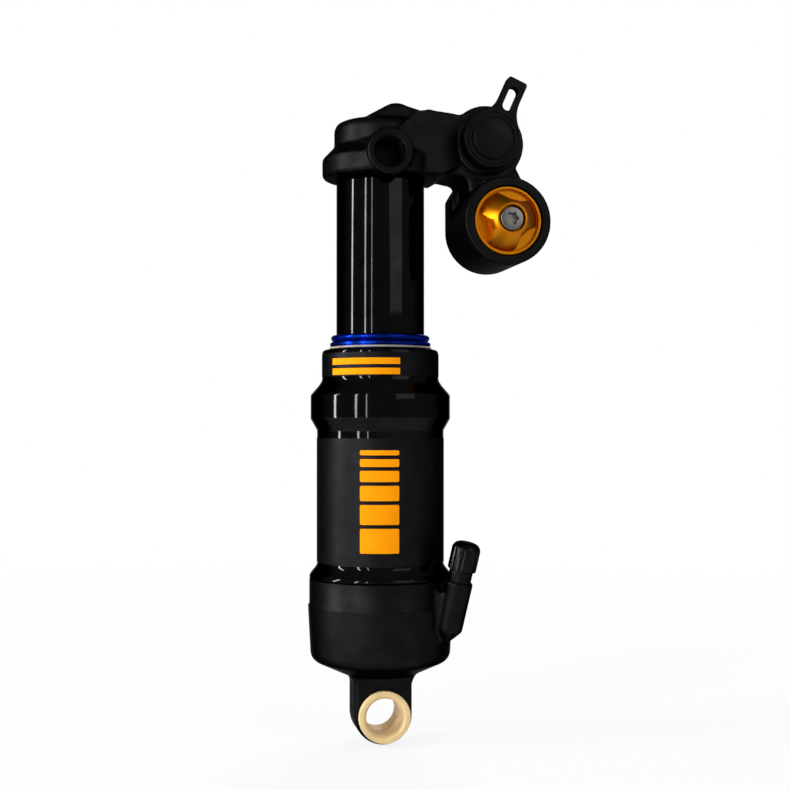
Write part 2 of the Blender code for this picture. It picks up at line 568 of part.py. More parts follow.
def neck_pieces():
    """Guide bush, air seal, wiper and retaining ring, stacked in the can's neck around the tube."""
    inner = TUBE_RADIUS + RUN
    outer = NECK_POCKET_RADIUS - SEAT
    bush_low = POCKET_FLOOR + SEAT
    bush_high = bush_low + GUIDE_BUSH_HEIGHT
    seal_low = bush_high + SEAT
    seal_high = seal_low + AIR_SEAL_HEIGHT
    wiper_low = seal_high + SEAT
    ring_low = CAN_TOP - RETAINING_RING_OVERLAP
    ring_high = ring_low + RETAINING_RING_HEIGHT
    flange_low = ring_high
    flange_high = WIPER_FLANGE_TOP
    lip = inner + WIPER_LIP_WALL
    waist = WIPER_FLANGE_RADIUS - 2 * RETAINING_RING_OVERLAP
    finish(ring("guide_bush", inner, outer, bush_low, bush_high), *ALUMINIUM)
    finish(ring("air_seal", inner, outer, seal_low, seal_high), *BLACK_RUBBER)
    wiper = turned("dust_wiper", [(inner, wiper_low), (outer, wiper_low), (outer, ring_low - SEAT - RUN),
                                  (waist - SEAT, ring_low - SEAT - RUN), (waist - SEAT, flange_low + SEAT),
                                  (WIPER_FLANGE_RADIUS, flange_low + SEAT), (WIPER_FLANGE_RADIUS,
                                          flange_high),
                                  (lip, flange_high + SEAT), (lip - SEAT, WIPER_TOP - SEAT),
                                  (inner + SEAT, WIPER_TOP), (inner, WIPER_TOP - SEAT)])
    finish(wiper, *BLUE_SEAL)
    clip = ring("wiper_retaining_ring", waist, WIPER_FLANGE_RADIUS + RETAINING_RING_OVERLAP, ring_low,
            ring_high,
                edge=SEAT / 2)
    finish(clip, *PALE_RING)


def damper_rod():
    """Rod fixed in the end cap, with a shank on top for the piston."""
    foot = CUP_FLOOR - ROD_SOCKET_DEPTH + SEAT
    tip = NUT_BOTTOM + NUT_HEIGHT + SEAT
    profile = [(0, foot), (ROD_RADIUS, foot), (ROD_RADIUS, ROD_SHOULDER), (ROD_SHANK_RADIUS, ROD_SHOULDER),
               (ROD_SHANK_RADIUS, tip), (0, tip)]
    finish(turned("damper_rod", profile, flats=SMALL_ROUND), *STEEL)
    bumper_top = AIR_PISTON_BOTTOM - TUBE_FOOT - STROKE - BOTTOM_OUT_GAP
    bumper = ring("bottom_out_bumper", ROD_RADIUS + SEAT, BOTTOM_OUT_BUMPER_RADIUS, CUP_FLOOR + SEAT,
            bumper_top,
                  edge=BUMPER_EDGE)
    finish(bumper, *BLACK_RUBBER)


def main_piston():
    """Piston with its ports, its glide band, the shims on both sides and the nut."""
    radius = INNER_TUBE_BORE - PISTON_RUN
    bore = ROD_SHANK_RADIUS + SEAT
    band_low = (PISTON_BOTTOM + PISTON_TOP - PISTON_BAND_HEIGHT) / 2
    band_high = band_low + PISTON_BAND_HEIGHT
    side = grooved(PISTON_BOTTOM, PISTON_TOP, radius, band_low, band_high, PISTON_BAND_DEPTH)
    piston = turned("main_piston", [(bore, PISTON_BOTTOM)] + side + [(bore, PISTON_TOP)], flats=RING_ROUND)
    for port in range(PISTON_PORTS):
        turn = 2 * math.pi * port / PISTON_PORTS
        x = PISTON_PORT_CIRCLE * math.cos(turn)
        y = PISTON_PORT_CIRCLE * math.sin(turn)
        cut(piston, rod_between("port", (x, y, PISTON_BOTTOM - SEAT), (x, y, PISTON_TOP + SEAT),
                                PISTON_PORT_RADIUS, PASSAGE_ROUND))
    finish(piston, *ALUMINIUM)
    band = ring("piston_band", radius - PISTON_BAND_DEPTH + SEAT, radius + RING_PROUD, band_low + SEAT,
                band_high - SEAT)
    finish(band, *BLACK_PLASTIC)
    shim_pitch = SHIM_THICKNESS + SEAT
    for count, shim_radius in enumerate(REBOUND_SHIM_RADII, 1):
        low = ROD_SHOULDER + SEAT + (count - 1) * shim_pitch
        shim = ring("rebound_shim_%d" % count, bore, shim_radius, low, low + SHIM_THICKNESS,
                flats=SMALL_ROUND)
        finish(shim, *STEEL)
    for count, shim_radius in enumerate(COMPRESSION_SHIM_RADII, 1):
        low = PISTON_TOP + SEAT + (count - 1) * shim_pitch
        shim = ring("compression_shim_%d" % count, bore, shim_radius, low, low + SHIM_THICKNESS,
                flats=SMALL_ROUND)
        finish(shim, *STEEL)
    nut = extruded("piston_nut", arc(0, 0, NUT_ACROSS_CORNERS / 2, 0, 300, 5), NUT_BOTTOM,
            NUT_BOTTOM + NUT_HEIGHT)
    cut(nut, rod_between("nut_bore", (0, 0, NUT_BOTTOM - NUT_HEIGHT), (0, 0, NUT_BOTTOM + 2 * NUT_HEIGHT),
            bore))
    finish(nut, *STEEL)


def valve_pieces():
    """Valve stem in its boss, the core pin inside it, and the ribbed cap with its seal."""
    seat = VALVE_SHANK_RADIUS + SEAT
    stem = turned("valve_stem", [
        (AIR_PASSAGE_RADIUS, -VALVE_SHANK_LENGTH), (VALVE_SHANK_RADIUS, -VALVE_SHANK_LENGTH),
        (VALVE_SHANK_RADIUS, SEAT), (VALVE_THREAD_RADIUS, SEAT),
        (VALVE_THREAD_RADIUS, VALVE_THREAD_LENGTH - SEAT), (VALVE_THREAD_RADIUS - SEAT,
                VALVE_THREAD_LENGTH),
        (VALVE_BORE_RADIUS, VALVE_THREAD_LENGTH), (VALVE_BORE_RADIUS, VALVE_FLOOR),
        (AIR_PASSAGE_RADIUS, VALVE_FLOOR)], VALVE, SMALL_ROUND)
    finish(stem, *BLACK_ANODISED)
    pin_top = VALVE_THREAD_LENGTH - SEAT
    pin_foot = VALVE_FLOOR + VALVE_PIN_TRAVEL + SEAT
    head = VALVE_BORE_RADIUS - SEAT
    pin = turned("valve_core_pin", [
        (0, pin_foot), (head, pin_foot), (head, pin_foot + VALVE_PIN_HEAD),
        (VALVE_PIN_RADIUS, pin_foot + VALVE_PIN_HEAD), (VALVE_PIN_RADIUS, pin_top), (0, pin_top)],
        VALVE_PIN, SMALL_ROUND)
    finish(pin, *BRASS)

    seal_low = VALVE_THREAD_LENGTH + SEAT
    seal_high = seal_low + VALVE_CAP_SEAL_HEIGHT
    roof = seal_high + SEAT
    top = roof + VALVE_CAP_TOP_WALL
    bore = VALVE_THREAD_RADIUS + SEAT
    outline = []
    for step in range(VALVE_CAP_RIBS * 2):
        turn = math.pi * step / VALVE_CAP_RIBS
        radius = VALVE_CAP_RADIUS - (step % 2) * VALVE_CAP_RIB_DEPTH
        outline.append((radius * math.cos(turn), radius * math.sin(turn)))
    cap = extruded("valve_cap", outline, VALVE_CAP_LIFT, top, VALVE_CAP, edge=VALVE_CAP_RIB_DEPTH)
    cut(cap, rod_between("cap_bore", (0, 0, VALVE_CAP_LIFT - seat), (0, 0, roof), bore, parent=VALVE_CAP))
    finish(cap, *BLACK_PLASTIC)
    seal = ring("valve_cap_seal", VALVE_BORE_RADIUS, VALVE_THREAD_RADIUS, seal_low, seal_high, VALVE_CAP,
            SMALL_ROUND)
    finish(seal, *BLACK_RUBBER)


def air_piston():
    """Piston on the tube's foot that works in the can, with its rings and the top-out bumper."""
    inner = TUBE_RADIUS + SEAT
    outer = CAN_BORE_RADIUS - AIR_PISTON_RUN
    seal_low = AIR_PISTON_BOTTOM + AIR_SEAL_GROOVE_HEIGHT / 2
    seal_high = seal_low + AIR_SEAL_GROOVE_HEIGHT
    band_high = AIR_PISTON_TOP - AIR_BAND_HEIGHT / 2
    band_low = band_high - AIR_BAND_HEIGHT
    side = grooved(AIR_PISTON_BOTTOM, band_low, outer, seal_low, seal_high, AIR_SEAL_GROOVE_DEPTH)
    side += [(outer - AIR_BAND_DEPTH, band_low), (outer - AIR_BAND_DEPTH, band_high), (outer, band_high),
             (outer, AIR_PISTON_TOP)]
    piston = turned("air_piston", [(inner, AIR_PISTON_BOTTOM)] + side + [(inner, AIR_PISTON_TOP)], DAMPER,
                    RING_ROUND)
    finish(piston, *ALUMINIUM)
    proud = outer + RING_PROUD
    seal = ring("air_piston_seal", outer - AIR_SEAL_GROOVE_DEPTH + SEAT, proud, seal_low + SEAT,
                seal_high - SEAT, DAMPER)
    finish(seal, *BLACK_RUBBER)
    band = ring("air_piston_band", outer - AIR_BAND_DEPTH + SEAT, proud, band_low + SEAT,
            band_high - SEAT, DAMPER)
    finish(band, *BLACK_PLASTIC)
    bumper_low = AIR_PISTON_TOP + SEAT
    bumper = ring("top_out_bumper", TUBE_RADIUS + NECK_LIP, CAN_BORE_RADIUS - SEAT, bumper_low,
                  bumper_low + TOP_OUT_BUMPER_HEIGHT)
    finish(bumper, *BLACK_RUBBER)


def damper_tubes():
    """Outer and inner tube, and the guide that closes them around the rod."""
    tube = ring("damper_tube", TUBE_BORE_RADIUS, TUBE_RADIUS, TUBE_BOTTOM, TUBE_TOP, DAMPER, ROUND)
    finish(tube, *BLACK_GLOSS)
    inner = ring("inner_tube", INNER_TUBE_BORE, INNER_TUBE_RADIUS, ROD_GUIDE_TOP + SEAT,
            SPIGOT_FOOT - SEAT, DAMPER,
                 ROUND)
    finish(inner, *STEEL)
    bore = ROD_RADIUS + RUN
    outer = TUBE_BORE_RADIUS - SEAT
    pocket_top = ROD_GUIDE_BOTTOM + ROD_SEAL_HEIGHT + 2 * SEAT
    guide = turned("rod_guide", [
        (ROD_SEAL_RADIUS + SEAT, ROD_GUIDE_BOTTOM), (outer, ROD_GUIDE_BOTTOM), (outer, ROD_GUIDE_TOP),
        (bore, ROD_GUIDE_TOP), (bore, pocket_top), (ROD_SEAL_RADIUS + SEAT, pocket_top)], DAMPER,
        RING_ROUND)
    finish(guide, *ALUMINIUM)
    seal_low = ROD_GUIDE_BOTTOM + SEAT
    seal = ring("rod_seal", bore, ROD_SEAL_RADIUS, seal_low, seal_low + ROD_SEAL_HEIGHT, DAMPER)
    finish(seal, *BLACK_RUBBER)


def head_crown():
    """Turned core of the head: the collar over the tube and the crown above it."""
    collar_top = COLLAR_BOTTOM + HEAD_COLLAR_HEIGHT
    crown_top = EYE_TO_EYE + HEAD_CROWN_TOP
    profile = [(0, COLLAR_BOTTOM), (HEAD_COLLAR_RADIUS - HEAD_EDGE, COLLAR_BOTTOM),
               (HEAD_COLLAR_RADIUS, COLLAR_BOTTOM + HEAD_EDGE), (HEAD_COLLAR_RADIUS, collar_top),
               (HEAD_COLLAR_RADIUS - HEAD_EDGE, collar_top + HEAD_EDGE),
               (HEAD_CROWN_RADIUS, collar_top + HEAD_SHOULDER), (HEAD_CROWN_RADIUS,
                       crown_top - 3 * HEAD_EDGE),
               (HEAD_CROWN_RADIUS - HEAD_EDGE, crown_top - HEAD_EDGE),
               (HEAD_CROWN_RADIUS - 3 * HEAD_EDGE, crown_top), (0, crown_top)]
    return turned("head", profile, DAMPER)


def head_spigot():
    """Spigot that the tube fits over, with a groove for its seal."""
    radius = TUBE_BORE_RADIUS - SEAT
    groove_low = SPIGOT_FOOT + HEAD_SEAL_HEIGHT
    top = COLLAR_BOTTOM + TUBE_ENTRY + HEAD_EDGE
    side = grooved(SPIGOT_FOOT, top, radius, groove_low, groove_low + HEAD_SEAL_HEIGHT, HEAD_SEAL_DEPTH)
    return turned("spigot", [(0, SPIGOT_FOOT)] + side + [(0, top)], DAMPER)


def arm_outline():
    """Side view of the ridge and the arm, beside and above the trunnion axis."""
    ridge = arc(RIDGE_OFFSET, RIDGE_HEIGHT - RIDGE_RADIUS, RIDGE_RADIUS, 115, 65, 4)
    lever_top = (LEVER_OFFSET, LEVER_HEIGHT + LEVER_BOSS_RADIUS)
    right = RESERVOIR_OFFSET + RESERVOIR_RADIUS / 2
    web_bottom = -RESERVOIR_DROP + RESERVOIR_RADIUS / 2
    left = RESERVOIR_OFFSET - WEB_HALF_WIDTH
    underside = arc(left - ARM_FILLET, -ARM_UNDERSIDE - ARM_FILLET, ARM_FILLET, 0, 90, 4)
    return [(-HEAD_CROWN_RADIUS / 2, HEAD_CROWN_TOP - HEAD_EDGE)] + ridge + [
        (ARM_DIP_START, ARM_DIP_HEIGHT + HEAD_EDGE / 2), (ARM_DIP_END, ARM_DIP_HEIGHT), lever_top,
        (right, -ARM_UNDERSIDE), (right, web_bottom), (left, web_bottom)] + underside + [
        (HEAD_COLLAR_RADIUS - HEAD_EDGE, -COLLAR_DROP + 2 * HEAD_EDGE),
        (-HEAD_CROWN_RADIUS / 2, -COLLAR_DROP + 2 * HEAD_EDGE)]


def head():
    """Head in one piece: crown, trunnion, arm, lever boss and reservoir, with its bores and oil ways."""
    piece = head_crown()
    outline = list(reversed(arm_outline()))
    join(piece, extruded("arm", outline, -ARM_HALF, ARM_HALF, TRUNNION, ARM_EDGE))
    half = TRUNNION_WIDTH / 2
    trunnion = turned("trunnion", [
        (0, -half), (TRUNNION_RADIUS - HEAD_EDGE, -half), (TRUNNION_RADIUS, -half + HEAD_EDGE),
        (TRUNNION_RADIUS, half - HEAD_EDGE), (TRUNNION_RADIUS - HEAD_EDGE, half), (0, half)], TRUNNION,
                ROUND)
    join(piece, trunnion)
    boss = turned("lever_boss", [
        (0, -LEVER_BOSS_HALF), (LEVER_BOSS_RADIUS - HEAD_EDGE, -LEVER_BOSS_HALF),
        (LEVER_BOSS_RADIUS, -LEVER_BOSS_HALF + HEAD_EDGE), (LEVER_BOSS_RADIUS, LEVER_BOSS_HALF - HEAD_EDGE),
        (LEVER_BOSS_RADIUS - HEAD_EDGE, LEVER_BOSS_HALF), (LEVER_STEP_RADIUS, LEVER_BOSS_HALF),
        (LEVER_STEP_RADIUS, LEVER_BOSS_HALF + LEVER_STEP_HEIGHT), (0,
                LEVER_BOSS_HALF + LEVER_STEP_HEIGHT)], LEVER)
    join(piece, boss)
    barrel = turned("barrel", [
        (0, -RESERVOIR_BACK), (RESERVOIR_RADIUS - RESERVOIR_BACK_INSET, -RESERVOIR_BACK),
        (RESERVOIR_RADIUS, -RESERVOIR_BACK + RESERVOIR_BACK_TAPER), (RESERVOIR_RADIUS,
                RESERVOIR_FRONT - HEAD_EDGE),
        (RESERVOIR_RADIUS - HEAD_EDGE, RESERVOIR_FRONT), (0, RESERVOIR_FRONT)], RESERVOIR)
    join(piece, barrel)
    cut(piece, rod_between("tube_socket", (0, 0, SPIGOT_FOOT), (0, 0, COLLAR_BOTTOM + TUBE_ENTRY),
            TUBE_RADIUS + SEAT,
                           ROUND))
    join(piece, head_spigot())

    for side in (1, -1):
        floor = side * (half - TRUNNION_THREAD_DEPTH)
        face = side * half
        mouth = TRUNNION_THREAD_RADIUS + TRUNNION_CHAMFER
        cut(piece, turned("thread_bore", [
            (0, floor), (TRUNNION_THREAD_RADIUS, floor), (TRUNNION_THREAD_RADIUS,
                    face - side * TRUNNION_CHAMFER),
            (mouth, face), (mouth, face + side * TRUNNION_CHAMFER), (0, face + side * TRUNNION_CHAMFER)],
            TRUNNION, SMALL_ROUND))
    spindle_front = LEVER_BOSS_HALF + LEVER_STEP_HEIGHT
    cut(piece, rod_between("spindle_bore", (0, 0, LEVER_BACK - SPINDLE_DEPTH - SEAT),
                           (0, 0, spindle_front + LEVER_STEP_HEIGHT), SPINDLE_RADIUS + RUN, parent=LEVER))
    cut(piece, turned("reservoir_bore", [
        (0, -RESERVOIR_BACK - RESERVOIR_BACK_TAPER), (RESERVOIR_BORE_RADIUS,
                -RESERVOIR_BACK - RESERVOIR_BACK_TAPER),
        (RESERVOIR_BORE_RADIUS, DIAL_POCKET_FLOOR), (DIAL_POCKET_RADIUS, DIAL_POCKET_FLOOR),
        (DIAL_POCKET_RADIUS, RESERVOIR_FRONT + HEAD_EDGE), (0, RESERVOIR_FRONT + HEAD_EDGE)], RESERVOIR))
    lever_z = EYE_TO_EYE + LEVER_HEIGHT
    riser_top = lever_z + OIL_BORE_RADIUS / 3
    cut(piece, rod_between("oil_riser", (0, 0, SPIGOT_FOOT - HEAD_EDGE), (0, 0, riser_top),
            OIL_BORE_RADIUS, PASSAGE_ROUND))
    cut(piece, rod_between("oil_way", (0, 0, lever_z), (LEVER_OFFSET, 0, lever_z), OIL_WAY_RADIUS,
            PASSAGE_ROUND))
    port_x = (LEVER_OFFSET + RESERVOIR_OFFSET) / 2
    port_y = -(PLUG_BACK + FLOATING_FRONT) / 2
    cut(piece, rod_between("oil_port", (port_x, port_y, lever_z), (port_x, port_y,
            EYE_TO_EYE - RESERVOIR_DROP),
                           OIL_PORT_RADIUS, PASSAGE_ROUND))
    finish(piece, *BLACK_ANODISED)

    groove_low = SPIGOT_FOOT + HEAD_SEAL_HEIGHT
    spigot = TUBE_BORE_RADIUS - SEAT
    seal = ring("head_seal", spigot - HEAD_SEAL_DEPTH + SEAT, spigot + HEAD_SEAL_PROUD, groove_low + SEAT,
                groove_low + HEAD_SEAL_HEIGHT - SEAT, DAMPER)
    finish(seal, *BLACK_RUBBER)


def lever_outline():
    """Plan of the lever about its axis, pointing along local X: round hub, waist and thumb tab."""
    tab_start = LEVER_LENGTH - LEVER_TAB_LENGTH
    half_tab = LEVER_TAB_WIDTH / 2
    hub = arc(0, 0, LEVER_HUB_RADIUS, 60, 300, 20)
    upper = [(LEVER_FLANK_PLACE, -LEVER_FLANK_WIDTH / 2),
             (tab_start - LEVER_WAIST_WIDTH / 3, -LEVER_WAIST_WIDTH / 2), (tab_start, -half_tab)]
    tip = arc(LEVER_LENGTH - LEVER_TAB_CORNER, -half_tab + LEVER_TAB_CORNER, LEVER_TAB_CORNER, -90, 0, 3)
    tip += arc(LEVER_LENGTH - LEVER_TAB_CORNER, half_tab - LEVER_TAB_CORNER, LEVER_TAB_CORNER, 0, 90, 3)
    lower = [(tab_start, half_tab), (tab_start - LEVER_WAIST_WIDTH / 3, LEVER_WAIST_WIDTH / 2),
             (LEVER_FLANK_PLACE, LEVER_FLANK_WIDTH / 2)]
    return hub + upper + tip + lower


def lever():
    """Compression lever with its slotted thumb tab, and the spindle that it turns."""
    front = LEVER_BACK + LEVER_THICKNESS
    piece = extruded("lever", lever_outline(), LEVER_BACK, front, LEVER_ARM, LEVER_EDGE)
    rim = turned("rim", [(0, front - LEVER_EDGE), (LEVER_RIM_RADIUS, front - LEVER_EDGE),
                         (LEVER_RIM_RADIUS, front + LEVER_RIM_HEIGHT - LEVER_EDGE),
                         (LEVER_RIM_RADIUS - LEVER_EDGE, front + LEVER_RIM_HEIGHT), (0,
                                 front + LEVER_RIM_HEIGHT)],
                 LEVER_ARM, ROUND)
    join(piece, rim)
    slot_end = LEVER_LENGTH - LEVER_SLOT_END - LEVER_SLOT_WIDTH / 2
    slot_start = slot_end - LEVER_SLOT_LENGTH + LEVER_SLOT_WIDTH
    slot = arc(slot_end, 0, LEVER_SLOT_WIDTH / 2, -90, 90, 8)
    slot += arc(slot_start, 0, LEVER_SLOT_WIDTH / 2, 90, 270, 8)
    cut(piece, extruded("slot", slot, LEVER_BACK - LEVER_EDGE, front + LEVER_EDGE, LEVER_ARM))
    relief_start = LEVER_HUB_RADIUS + 2 * LEVER_EDGE
    relief_end = LEVER_LENGTH + LEVER_EDGE
    relief = [(relief_start, -LEVER_TAB_WIDTH), (relief_end, -LEVER_TAB_WIDTH), (relief_end, LEVER_TAB_WIDTH),
              (relief_start, LEVER_TAB_WIDTH)]
    cut(piece, extruded("relief", relief, LEVER_BACK - LEVER_EDGE, LEVER_BACK + LEVER_TAB_RELIEF, LEVER_ARM))
    socket_floor = LEVER_BACK + LEVER_THICKNESS / 2
    cut(piece, rod_between("socket", (0, 0, LEVER_BACK - LEVER_EDGE), (0, 0, socket_floor),
            SPINDLE_RADIUS + SEAT,
                           parent=LEVER_ARM))
    finish(piece, *BLACK_ANODISED)

    foot = LEVER_BACK - SPINDLE_DEPTH
    groove_high = LEVER_BOSS_HALF - SPINDLE_GROOVE_PLACE
    groove_low = groove_high - SPINDLE_GROOVE_HEIGHT
    side = grooved(foot, socket_floor - SEAT, SPINDLE_RADIUS, groove_low, groove_high, SPINDLE_GROOVE_DEPTH)
    spindle = turned("lever_spindle", [(0, foot)] + side + [(0, socket_floor - SEAT)], LEVER_ARM,
            SMALL_ROUND)
    finish(spindle, *STEEL)
    seal = ring("lever_spindle_seal", SPINDLE_RADIUS - SPINDLE_GROOVE_DEPTH + SEAT, SPINDLE_RADIUS,
                groove_low + SEAT, groove_high - SEAT, LEVER_ARM, SMALL_ROUND)
    finish(seal, *BLACK_RUBBER)


def dial_lens(centre):
    """One pocket of the dial: an arc outside and a three-sided edge inside."""
    reach = DIAL_RADIUS - DIAL_RIM_WIDTH - DIAL_RIM_GROOVE / 2
    span = math.degrees(DIAL_LENS_HALF_SPAN)
    middle = math.degrees(centre)
    outer = arc(0, 0, reach, middle - span, middle + span, 8)
    inner = arc(0, 0, DIAL_LENS_INNER_RADIUS / math.cos(DIAL_LENS_HALF_SPAN / 2), middle + span / 2,
                middle - span / 2, 1)
    return outer + inner


def rebound_dial():
    """Dished dial with three pockets, held by a socket-head screw to its adjuster spindle."""
    back = DIAL_POCKET_FLOOR + SEAT
    front = RESERVOIR_FRONT - DIAL_RECESS
    hole = DIAL_SCREW_SHANK_RADIUS + SEAT
    well = DIAL_SCREW_RADIUS + 2 * SEAT
    dish = front - DIAL_DISH_DEPTH
    rim = DIAL_RADIUS - DIAL_RIM_WIDTH
    hub_top = front + DIAL_CONE_HEIGHT
    seat = hub_top - DIAL_SCREW_HEAD - SEAT
    piece = turned("rebound_dial", [
        (hole, back), (DIAL_RADIUS, back), (DIAL_RADIUS, front - SEAT), (DIAL_RADIUS - SEAT, front), (rim,
                front),
        (rim, dish), (rim - DIAL_RIM_GROOVE, dish),
        (rim - DIAL_RIM_GROOVE, front - DIAL_FACE_DROP), (DIAL_HUB_RADIUS, hub_top), (well, hub_top),
        (well, seat - SEAT), (hole, seat - SEAT)], DIAL)
    for pocket in range(DIAL_POCKETS):
        centre = DIAL_LENS_ANGLE + 2 * math.pi * pocket / DIAL_POCKETS
        cut(piece, extruded("pocket", dial_lens(centre), dish + DIAL_LENS_FLOOR, hub_top + SEAT, DIAL))
    finish(piece, *GOLD_ANODISED)

    top = seat + DIAL_SCREW_HEAD
    tip = back + SEAT - DIAL_SCREW_SHANK
    screw = turned("dial_screw", [
        (0, tip), (DIAL_SCREW_SHANK_RADIUS, tip), (DIAL_SCREW_SHANK_RADIUS, seat), (DIAL_SCREW_RADIUS,
                seat),
        (DIAL_SCREW_RADIUS, top - 2 * SEAT), (DIAL_SCREW_RADIUS - 2 * SEAT, top), (0, top)], DIAL,
                SMALL_ROUND)
    outline = []
    for step in range(SOCKET_LOBES * 6):
        turn = 2 * math.pi * step / (SOCKET_LOBES * 6)
        radius = SOCKET_RADIUS + SOCKET_LOBE * math.cos(SOCKET_LOBES * turn)
        outline.append((radius * math.cos(turn), radius * math.sin(turn)))
    cut(screw, extruded("socket", outline, top - SOCKET_DEPTH, top + SEAT, DIAL))
    finish(screw, *STEEL)

    nose = DIAL_POCKET_FLOOR
    bore_floor = nose - ADJUSTER_SPINDLE_BORE_DEPTH
    foot = PLUG_BACK + SEAT
    spindle = turned("adjuster_spindle", [
        (0, foot), (ADJUSTER_SPINDLE_RADIUS, foot), (ADJUSTER_SPINDLE_RADIUS, nose), (hole, nose),
        (hole, bore_floor), (0, bore_floor)], DIAL, SMALL_ROUND)
    finish(spindle, *STEEL)


def reservoir_pieces():
    """Plug at the front, floating piston, and end cap with its gas screw at the back."""
    outer = RESERVOIR_BORE_RADIUS - SEAT
    bore = ADJUSTER_SPINDLE_RADIUS + RUN

    def seal_in(name, middle, parent):
        low = middle - PISTON_RING_HEIGHT / 2
        seal = ring(name, outer - PISTON_RING_DEPTH + SEAT, outer, low + SEAT,
                low + PISTON_RING_HEIGHT - SEAT, parent)
        finish(seal, *BLACK_RUBBER)

    def groove(low, high, middle):
        return grooved(low, high, outer, middle - PISTON_RING_HEIGHT / 2, middle + PISTON_RING_HEIGHT / 2,
                       PISTON_RING_DEPTH)

    middle = (PLUG_BACK + PLUG_FRONT) / 2
    plug = turned("adjuster_plug", [(bore, PLUG_BACK)] + groove(PLUG_BACK, PLUG_FRONT, middle) + [(bore,
            PLUG_FRONT)],
                  RESERVOIR, RING_ROUND)
    finish(plug, *BLACK_ANODISED)
    seal_in("adjuster_plug_seal", middle, RESERVOIR)

    middle = (FLOATING_BACK + FLOATING_FRONT) / 2
    floating = turned("floating_piston", [(0, FLOATING_BACK)] + groove(FLOATING_BACK, FLOATING_FRONT,
            middle)
                      + [(0, FLOATING_FRONT)], FLOATING, RING_ROUND)
    finish(floating, *ALUMINIUM)
    seal_in("floating_piston_seal", middle, FLOATING)

    middle = (RESERVOIR_CAP_BACK + RESERVOIR_CAP_FRONT) / 2
    screw_hole = GAS_SCREW_RADIUS + SEAT
    screw_well = GAS_SCREW_HEAD_RADIUS + SEAT
    well_floor = RESERVOIR_CAP_BACK + GAS_SCREW_HEAD_HEIGHT + SEAT
    cap = turned("reservoir_end_cap", [(screw_well, RESERVOIR_CAP_BACK)]
                 + groove(RESERVOIR_CAP_BACK, RESERVOIR_CAP_FRONT, middle)
                 + [(screw_hole, RESERVOIR_CAP_FRONT), (screw_hole, well_floor), (screw_well,
                         well_floor)], RESERVOIR,
                 RING_ROUND)
    finish(cap, *BLACK_ANODISED)
    seal_in("reservoir_end_seal", middle, RESERVOIR)
    head_top = well_floor - SEAT
    head_face = head_top - GAS_SCREW_HEAD_HEIGHT
    tip = min(head_top + GAS_SCREW_LENGTH, RESERVOIR_CAP_FRONT)
    screw = turned("gas_fill_screw", [
        (0, head_face), (GAS_SCREW_HEAD_RADIUS, head_face), (GAS_SCREW_HEAD_RADIUS, head_top),
        (GAS_SCREW_RADIUS, head_top), (GAS_SCREW_RADIUS, tip), (0, tip)], RESERVOIR, SMALL_ROUND)
    hexagon = arc(0, 0, GAS_SCREW_HEX_RADIUS, 0, 300, 5)
    cut(screw, extruded("hex", hexagon, head_face - SEAT, head_face + GAS_SCREW_HEX_DEPTH, RESERVOIR))
    finish(screw, *STEEL)


clear_scene()
TO_VIEWER = (math.pi / 2, 0, 0)
DAMPER = frame("damper_axis")
EYE = frame("eye_axis", turn=TO_VIEWER)
VALVE_FOOT = (VALVE_AXIS_OFFSET * math.cos(VALVE_AZIMUTH), VALVE_AXIS_OFFSET * math.sin(VALVE_AZIMUTH),
        VALVE_BOSS_TOP)
VALVE = frame("valve_axis", VALVE_FOOT, (0, VALVE_TILT, VALVE_AZIMUTH))
VALVE_PIN = frame("valve_pin_axis", parent=VALVE)
VALVE_CAP = frame("valve_cap_axis", parent=VALVE)
TRUNNION = frame("trunnion_axis", (0, 0, EYE_TO_EYE), TO_VIEWER, DAMPER)
LEVER = frame("lever_axis", (LEVER_OFFSET, 0, EYE_TO_EYE + LEVER_HEIGHT), TO_VIEWER, DAMPER)
LEVER_ARM = frame("lever_arm_axis", turn=(0, 0, LEVER_ANGLE), parent=LEVER)
RESERVOIR = frame("reservoir_axis", (RESERVOIR_OFFSET, 0, EYE_TO_EYE - RESERVOIR_DROP), TO_VIEWER, DAMPER)
DIAL = frame("dial_axis", parent=RESERVOIR)
FLOATING = frame("floating_axis", parent=RESERVOIR)

lower_end_cap()
lower_bush("lower_bush_front", 1)
lower_bush("lower_bush_rear", -1)
air_can()
can_seal()
neck_pieces()
damper_rod()
main_piston()
valve_pieces()
air_piston()
damper_tubes()
head()
lever()
rebound_dial()
reservoir_pieces()
bpy.context.view_layer.update()
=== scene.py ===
# %% [markdown]
# # A bicycle rear shock
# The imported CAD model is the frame: it fixes where every piece sits and how it moves. This lesson dresses
# it. Visible pieces are modelled again with rounder forms, and each stands for the CAD node that it
# replaces. Sizes are in millimetres and angles in degrees, unless a comment says otherwise.

# %% Load the frame
import json
import math

import bmesh
import bpy
from mathutils import Matrix, Vector


